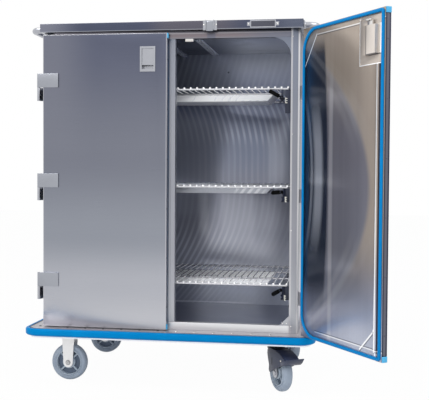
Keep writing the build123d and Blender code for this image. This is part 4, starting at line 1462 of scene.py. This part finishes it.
class Side(Enum):
    """A side of the cart, and how a piece drawn on the closed right door gets there."""

    RIGHT = "right"
    LEFT = "left"

    @property
    def matrix(self) -> Matrix:
        """The move from the closed right door to this side's door."""
        if self is Side.LEFT:
            return Matrix.Diagonal((-1.0, 1.0, 1.0, 1.0))
        turn = Matrix.Rotation(DOOR_ANGLE, 4, "Z")
        return Matrix.Translation(HINGE) @ turn @ Matrix.Translation(-HINGE)


@dataclass
class Door(Assembly):
    """One door with its seal, hinges, latch and edge rivets, drawn as the closed right door."""

    side: Side
    low: float = 0.239
    high: float = 1.435
    edge: float = 0.007
    outer: float = 0.525
    face: float = -0.354
    inner: float = -0.33
    seal_wall: float = 0.012
    seal_high: float = 0.008
    block: float = 0.02

    @property
    def body(self) -> str:
        """The door's body."""
        return f"door_{self.side.value}"

    def build(self) -> None:
        """Build and dress the door."""
        is_open = self.side is Side.RIGHT
        for piece, finish, soft in (
            ("skin", Look.OPEN_DOOR if is_open else Look.DOOR, 0.0009),
            ("liner", Look.LINER if is_open else Look.CLOSED_LINER, 0.0008),
            ("hinge_straps", Look.STRAP, 0.0007),
            ("latch_housing", Look.HOUSING if is_open else Look.FITTING, 0.0006),
            ("latch_paddle", Look.FITTING, 0.0006),
            ("latch_hook", Look.BRIGHT, 0.0007),
        ):
            refine(f"{self.body}_{piece}", finish, soft)
        self.seal()
        self.end_blocks()
        start = (self.edge, (self.face + self.inner) / 2, self.low + 0.09)
        self.kit.row(
            f"{self.body}_edge_rivets", Look.DARK, start, (0, 0, 0.2), 6, (-1, 0, 0),
            (0.0028, 0.0012), body=self.body, move=self.side.matrix,
        )

    def seal(self) -> None:
        """Sweep the bulb seal round the inner face."""
        left, right = self.edge + 0.0015, self.outer - 0.006
        low, high = self.low + 0.003, self.high - 0.003
        wall = self.seal_wall
        mesh = self.kit.band.grow(
            "seal", Look.SEAL, Width=right - left - wall, Depth=high - low - wall, Left=0.008,
            Right=0.086, Thick=wall, High=self.seal_high, Round=0.0036,
        )
        upright = Matrix.Rotation(math.radians(90), 4, "X")
        middle = ((left + right) / 2, self.inner + self.seal_high / 2, (low + high) / 2)
        carried(mesh, self.side.matrix @ Matrix.Translation(middle) @ upright)
        nodes = [f"{self.body}_seal"]
        settle(f"{self.body}_bulb_seal", mesh, Look.SEAL, self.body, nodes)

    def end_blocks(self) -> None:
        """Set the light blocks at the ends of the free edge."""
        shape = Shape()
        near, far = self.face + 0.002, self.inner - 0.002
        for z in (self.low, self.high - self.block):
            low, high = (self.edge - 0.005, near, z), (self.edge, far, z + self.block)
            shape.block(low, high, 0.0012, 3)
        mesh = shape.moved(self.side.matrix).data("blocks")
        settle(f"{self.body}_end_blocks", mesh, Look.BLOCK, self.body)


@dataclass
class Wheel:
    """One tyre and hub. A swivel caster's wheel trails its kingpin and is turned about it."""

    name: str
    x: float
    y: float
    trail: float = 0.0
    turn: float = 0.0
    radius: float = 0.0762
    half: float = 0.019
    bead: float = 0.0545
    spokes: int = 4

    @property
    def axle(self) -> Vector:
        """The axle's direction."""
        turn = math.radians(self.turn)
        return Vector((-math.sin(turn), math.cos(turn), 0.0))

    @property
    def place(self) -> Matrix:
        """The wheel's plane as X and Z, with the floor below its centre as the origin."""
        turn = math.radians(self.turn)
        x, y = self.x + self.trail * math.cos(turn), self.y + self.trail * math.sin(turn)
        frame = Matrix((self.axle.cross(UP), self.axle, UP)).transposed().to_4x4()
        return Matrix.Translation((x, y, 0.0)) @ frame

    @property
    def centre(self) -> Vector:
        """The wheel's centre."""
        return self.place @ Vector((0.0, 0.0, self.radius))

    def tyre(self) -> None:
        """Turn the tyre with a rounded tread and a moulded line on each flank."""
        lines = [(self.bead, 0.0024), (0.0556, 0.0012), (0.0575, 0.0002), (0.0592, 0.0012)]
        lines += [(0.0618, 0.0008), (0.0655, 0.0004), (0.069, 0.0012)]
        flank = [(radius, self.half - back) for radius, back in lines]
        sines = [math.sin(math.radians(78 - 12 * k)) for k in range(14)]
        tread = [(self.radius - 0.0062 * (s ** 2) ** 1.6, self.half * 0.9 * s) for s in sines]
        outline = flank + tread + [(r, -a) for r, a in reversed(flank)] + [flank[0]]
        name = f"tyre_{self.name}"
        mesh = Shape().lathe(outline, 96, self.centre, self.axle).data(name)
        settle(f"{name}_tread", mesh, Look.TYRE, f"wheel_{self.name}", [name])

    def hub(self) -> None:
        """Turn the hub's rim, boss and web, and set its spokes."""
        rim = [(0.0545, -0.0172), (0.0545, 0.0172), (0.0528, 0.0192), (0.0508, 0.0188)]
        rim += [(0.0498, 0.017), (0.0498, -0.017), (0.0508, -0.0188), (0.0528, -0.0192), rim[0]]
        boss = [(0.0061, -0.0186), (0.0245, -0.0186), (0.0265, -0.0165), (0.0265, 0.0165)]
        boss += [(0.0245, 0.0186), (0.0061, 0.0186), boss[0]]
        web = [(0.0185, -0.0019), (0.05, -0.0019), (0.05, 0.0019), (0.0185, 0.0019)]
        spot = (self.centre, self.axle)
        shape = Shape().lathe(rim, 72, *spot).lathe(boss, 40, *spot)
        place = self.place @ Matrix.Translation((0.0, 0.0, self.radius))
        for k in range(self.spokes):
            turn = Matrix.Rotation(2 * math.pi * (k + 0.5) / self.spokes, 4, "Y")
            spoke = Shape().block((0.017, -0.0125, -0.0032), (0.0505, 0.0125, 0.0032), 0.0012)
            shape.absorb(spoke.moved(place @ turn).mesh)
        body, node = f"wheel_{self.name}", f"hub_{self.name}"
        settle(f"{node}_spoked", shape.data(node), Look.HUB, body, [node])
        # The web takes the pocket finish, the hub's plastic painted darker as shade.
        name = f"hub_web_{self.name}"
        mesh = Shape().lathe(web + web[:1], 60, *spot).data(name)
        settle(name, mesh, Look.POCKET, body)


@dataclass
class Brake(Assembly):
    """The housing and the pedal of one swivel caster, drawn in its wheel's plane."""

    end: str
    wheel: Wheel
    half: float = 0.0322
    wall: float = 0.003
    hood_points: int = 6
    cheek: tuple[Span, ...] = (
        (-0.006, 0.1695), (0.018, 0.169), (0.044, 0.165), (0.064, 0.1595), (0.082, 0.153),
        (0.094, 0.146), (0.096, 0.136), (0.07, 0.12), (0.046, 0.108), (0.0095, 0.094),
        (-0.014, 0.082), (-0.032, 0.072), (-0.042, 0.071), (-0.049, 0.079), (-0.047, 0.1),
        (-0.058, 0.125), (-0.064, 0.145), (-0.062, 0.16), (-0.045, 0.1695),
    )
    crown: tuple[Span, ...] = (
        (-0.03, 0.1695), (0.03, 0.1695), (0.05, 0.1625), (0.05, 0.156), (-0.03, 0.156),
    )
    pedal: tuple[Span, ...] = (
        (0.07, 0.1315), (0.097, 0.1425), (0.104, 0.1435), (0.1265, 0.1545), (0.1285, 0.152),
        (0.112, 0.133), (0.098, 0.124), (0.074, 0.1185),
    )

    def build(self) -> None:
        """Build the housing, its slot and rivet, and the pedal with its pin."""
        half, place, slot = self.half, self.wheel.place, "brake_plastic"
        shape = Shape()
        for low in (-half, half - self.wall):
            shape.prism(self.cheek, (low, low + self.wall), 0.0008)
        top = self.cheek[: self.hood_points]
        inner = tuple((x - 0.0012, z - self.wall) for x, z in reversed(top))
        shape.prism(top + inner, (-half, half), 0.0007)
        shape.prism(self.crown, (-0.0255, 0.0255), 0.001)
        body, node = f"swivel_{self.end}", f"brake_housing_{self.end}"
        mesh = shape.moved(place).data(f"housing_{self.end}")
        settle(f"{node}_cover", mesh, Look.BRAKE, body, [node])
        pin = [(0.0, -0.0288), (0.0062, -0.0288), (0.0062, 0.0288), (0.0, 0.0288)]
        shape = Shape().prism(self.pedal, (-0.038, 0.038), 0.0012)
        shape.lathe(pin, 28, (0.074, 0, 0.125))
        name, node = f"pedal_{self.end}", f"brake_pedal_{self.end}"
        mesh = shape.moved(place).data(name)
        settle(f"{node}_lip", mesh, Look.BRAKE, name, [node])
        mark = Shape().block((-0.022, -half - 0.0004, 0.106), (-0.017, -half, 0.134), 0.0001)
        mesh = mark.moved(place).data("slot")
        settle(f"housing_{self.end}_slot", mesh, Look.SHADOW, body)
        start = tuple(place @ Vector((0.062, -half, 0.137)))
        facing = tuple(-self.wheel.axle)
        name = f"housing_{self.end}_rivets"
        self.kit.row(name, Look.BOLT, start, ORIGIN, 1, facing, (0.0045, 0.0024), body=body)


@dataclass
class Casters(Assembly):
    """The four casters and the hinge leaves."""

    x: float = 0.436
    y: float = 0.2745
    trail: float = 0.045
    turn: float = -60.0

    def build(self) -> None:
        """Build and dress the casters."""
        refine("hinge_leaves", Look.FITTING, 0.0007)
        dress("rigid_forks", Look.FORK)
        dress("swivel_mounts", Look.SWIVEL)
        wheels = []
        for end, y in (("front", -self.y), ("rear", self.y)):
            wheels.append(Wheel(f"left_{end}", -self.x, y))
            wheels.append(Wheel(f"right_{end}", self.x, y, self.trail, self.turn))
            dress(f"swivel_fork_{end}", Look.SWIVEL)
            Brake(self.kit, end, wheels[-1]).build()
        for wheel in wheels:
            wheel.tyre()
            wheel.hub()


# The studio


@dataclass
class Studio:
    """The floor, the light and the camera."""

    spot: Point = (0.7095, -3.7068, 0.8839)
    yaw: float = 8.81
    pitch: float = 1.97
    roll: float = 0.34
    focal: float = 849.8
    picture_w: float = 429.0
    floor_half: float = 14.0
    aim: float = 0.75

    def build(self) -> None:
        """Set up the whole studio."""
        bpy.context.scene.view_settings.view_transform = "Standard"
        self.floor()
        self.world()
        self.lamps()
        self.camera()

    def floor(self) -> None:
        """Lay a pale floor that keeps the cart's shadow."""
        half = self.floor_half
        mesh = bpy.data.meshes.new("floor")
        corners = [(-half, -half, 0), (half, -half, 0), (half, half, 0), (-half, half, 0)]
        mesh.from_pydata(corners, [], [(0, 1, 2, 3)])
        floor = linked("floor", mesh)
        graph = Graph("pale_floor")
        graph.put(graph.shader.inputs["Base Color"], (0.8, 0.8, 0.8))
        graph.put(graph.shader.inputs["Roughness"], 0.9)
        glow = graph.sock("ShaderNodeEmission", {"Color": (1.0, 1.0, 1.0), "Strength": 1.0})
        pale = Sock(graph, graph.shader.outputs[0])
        blend = graph.blend(graph.seen_directly() * 0.975, pale, glow)
        graph.put(graph.output.inputs["Surface"], blend)
        mesh.materials.append(graph.material)

    def world(self) -> None:
        """Light the cart evenly, with a white background."""
        world = bpy.data.worlds.new("studio")
        bpy.context.scene.world = world
        world.use_nodes = True
        nodes = Nodes(world.node_tree)
        plain, white = (
            nodes.sock("ShaderNodeBackground", {"Color": colour, "Strength": strength})
            for colour, strength in (((0.92, 0.96, 1.0), 0.55), ((1.0, 1.0, 1.0), 1.0))
        )
        blend = nodes.blend(nodes.seen_directly(), plain, white)
        nodes.add("ShaderNodeOutputWorld", {"Surface": blend})

    def lamps(self) -> None:
        """Hang the soft lamps."""
        for name, spot, size, power, mirrored in (
            ("key", (-2.6, -2.4, 5.2), 2.4, 130.0, True),
            ("fill", (3.4, -1.2, 4.2), 2.4, 70.0, True),
            ("front", (-0.6, -4.6, 2.0), 2.6, 58.0, False),
        ):
            light = bpy.data.lights.new(name, "AREA")
            light.shape = "DISK"
            light.size = size
            light.energy = power
            lamp = linked(name, light)
            lamp.location = spot
            aim = Vector((0, 0, self.aim)) - Vector(spot)
            lamp.rotation_euler = aim.to_track_quat("-Z", "Y").to_euler()
            lamp.visible_glossy = mirrored

    def camera(self) -> None:
        """Stand the camera where the photograph was taken."""
        yaw, pitch, roll = (math.radians(a) for a in (self.yaw, self.pitch, self.roll))
        level = Vector((-math.sin(yaw), math.cos(yaw), 0.0))
        ahead = level * math.cos(pitch) - UP * math.sin(pitch)
        right = Vector((math.cos(yaw), math.sin(yaw), 0.0))
        up = right.cross(ahead)
        across = right * math.cos(roll) + up * math.sin(roll)
        up = up * math.cos(roll) - right * math.sin(roll)
        data = bpy.data.cameras.new("camera")
        data.sensor_width = 36.0
        data.lens = self.focal * data.sensor_width / self.picture_w
        data.clip_end = 100.0
        camera = linked("camera", data)
        turn = Matrix((across, up, -ahead)).transposed().to_4x4()
        camera.matrix_world = Matrix.Translation(self.spot) @ turn
        bpy.context.scene.camera = camera


def main() -> None:
    """Build every sub-assembly."""
    logging.basicConfig(level=logging.INFO, format="%(name)s: %(message)s")
    kit = Kit()
    doors = (Door(kit, Side.LEFT), Door(kit, Side.RIGHT))
    for part in (Base(kit), Cabinet(kit), RoofFittings(kit), Shelves(kit), *doors, Casters(kit)):
        part.build()
    Studio().build()


if __name__ == "__main__":
    main()
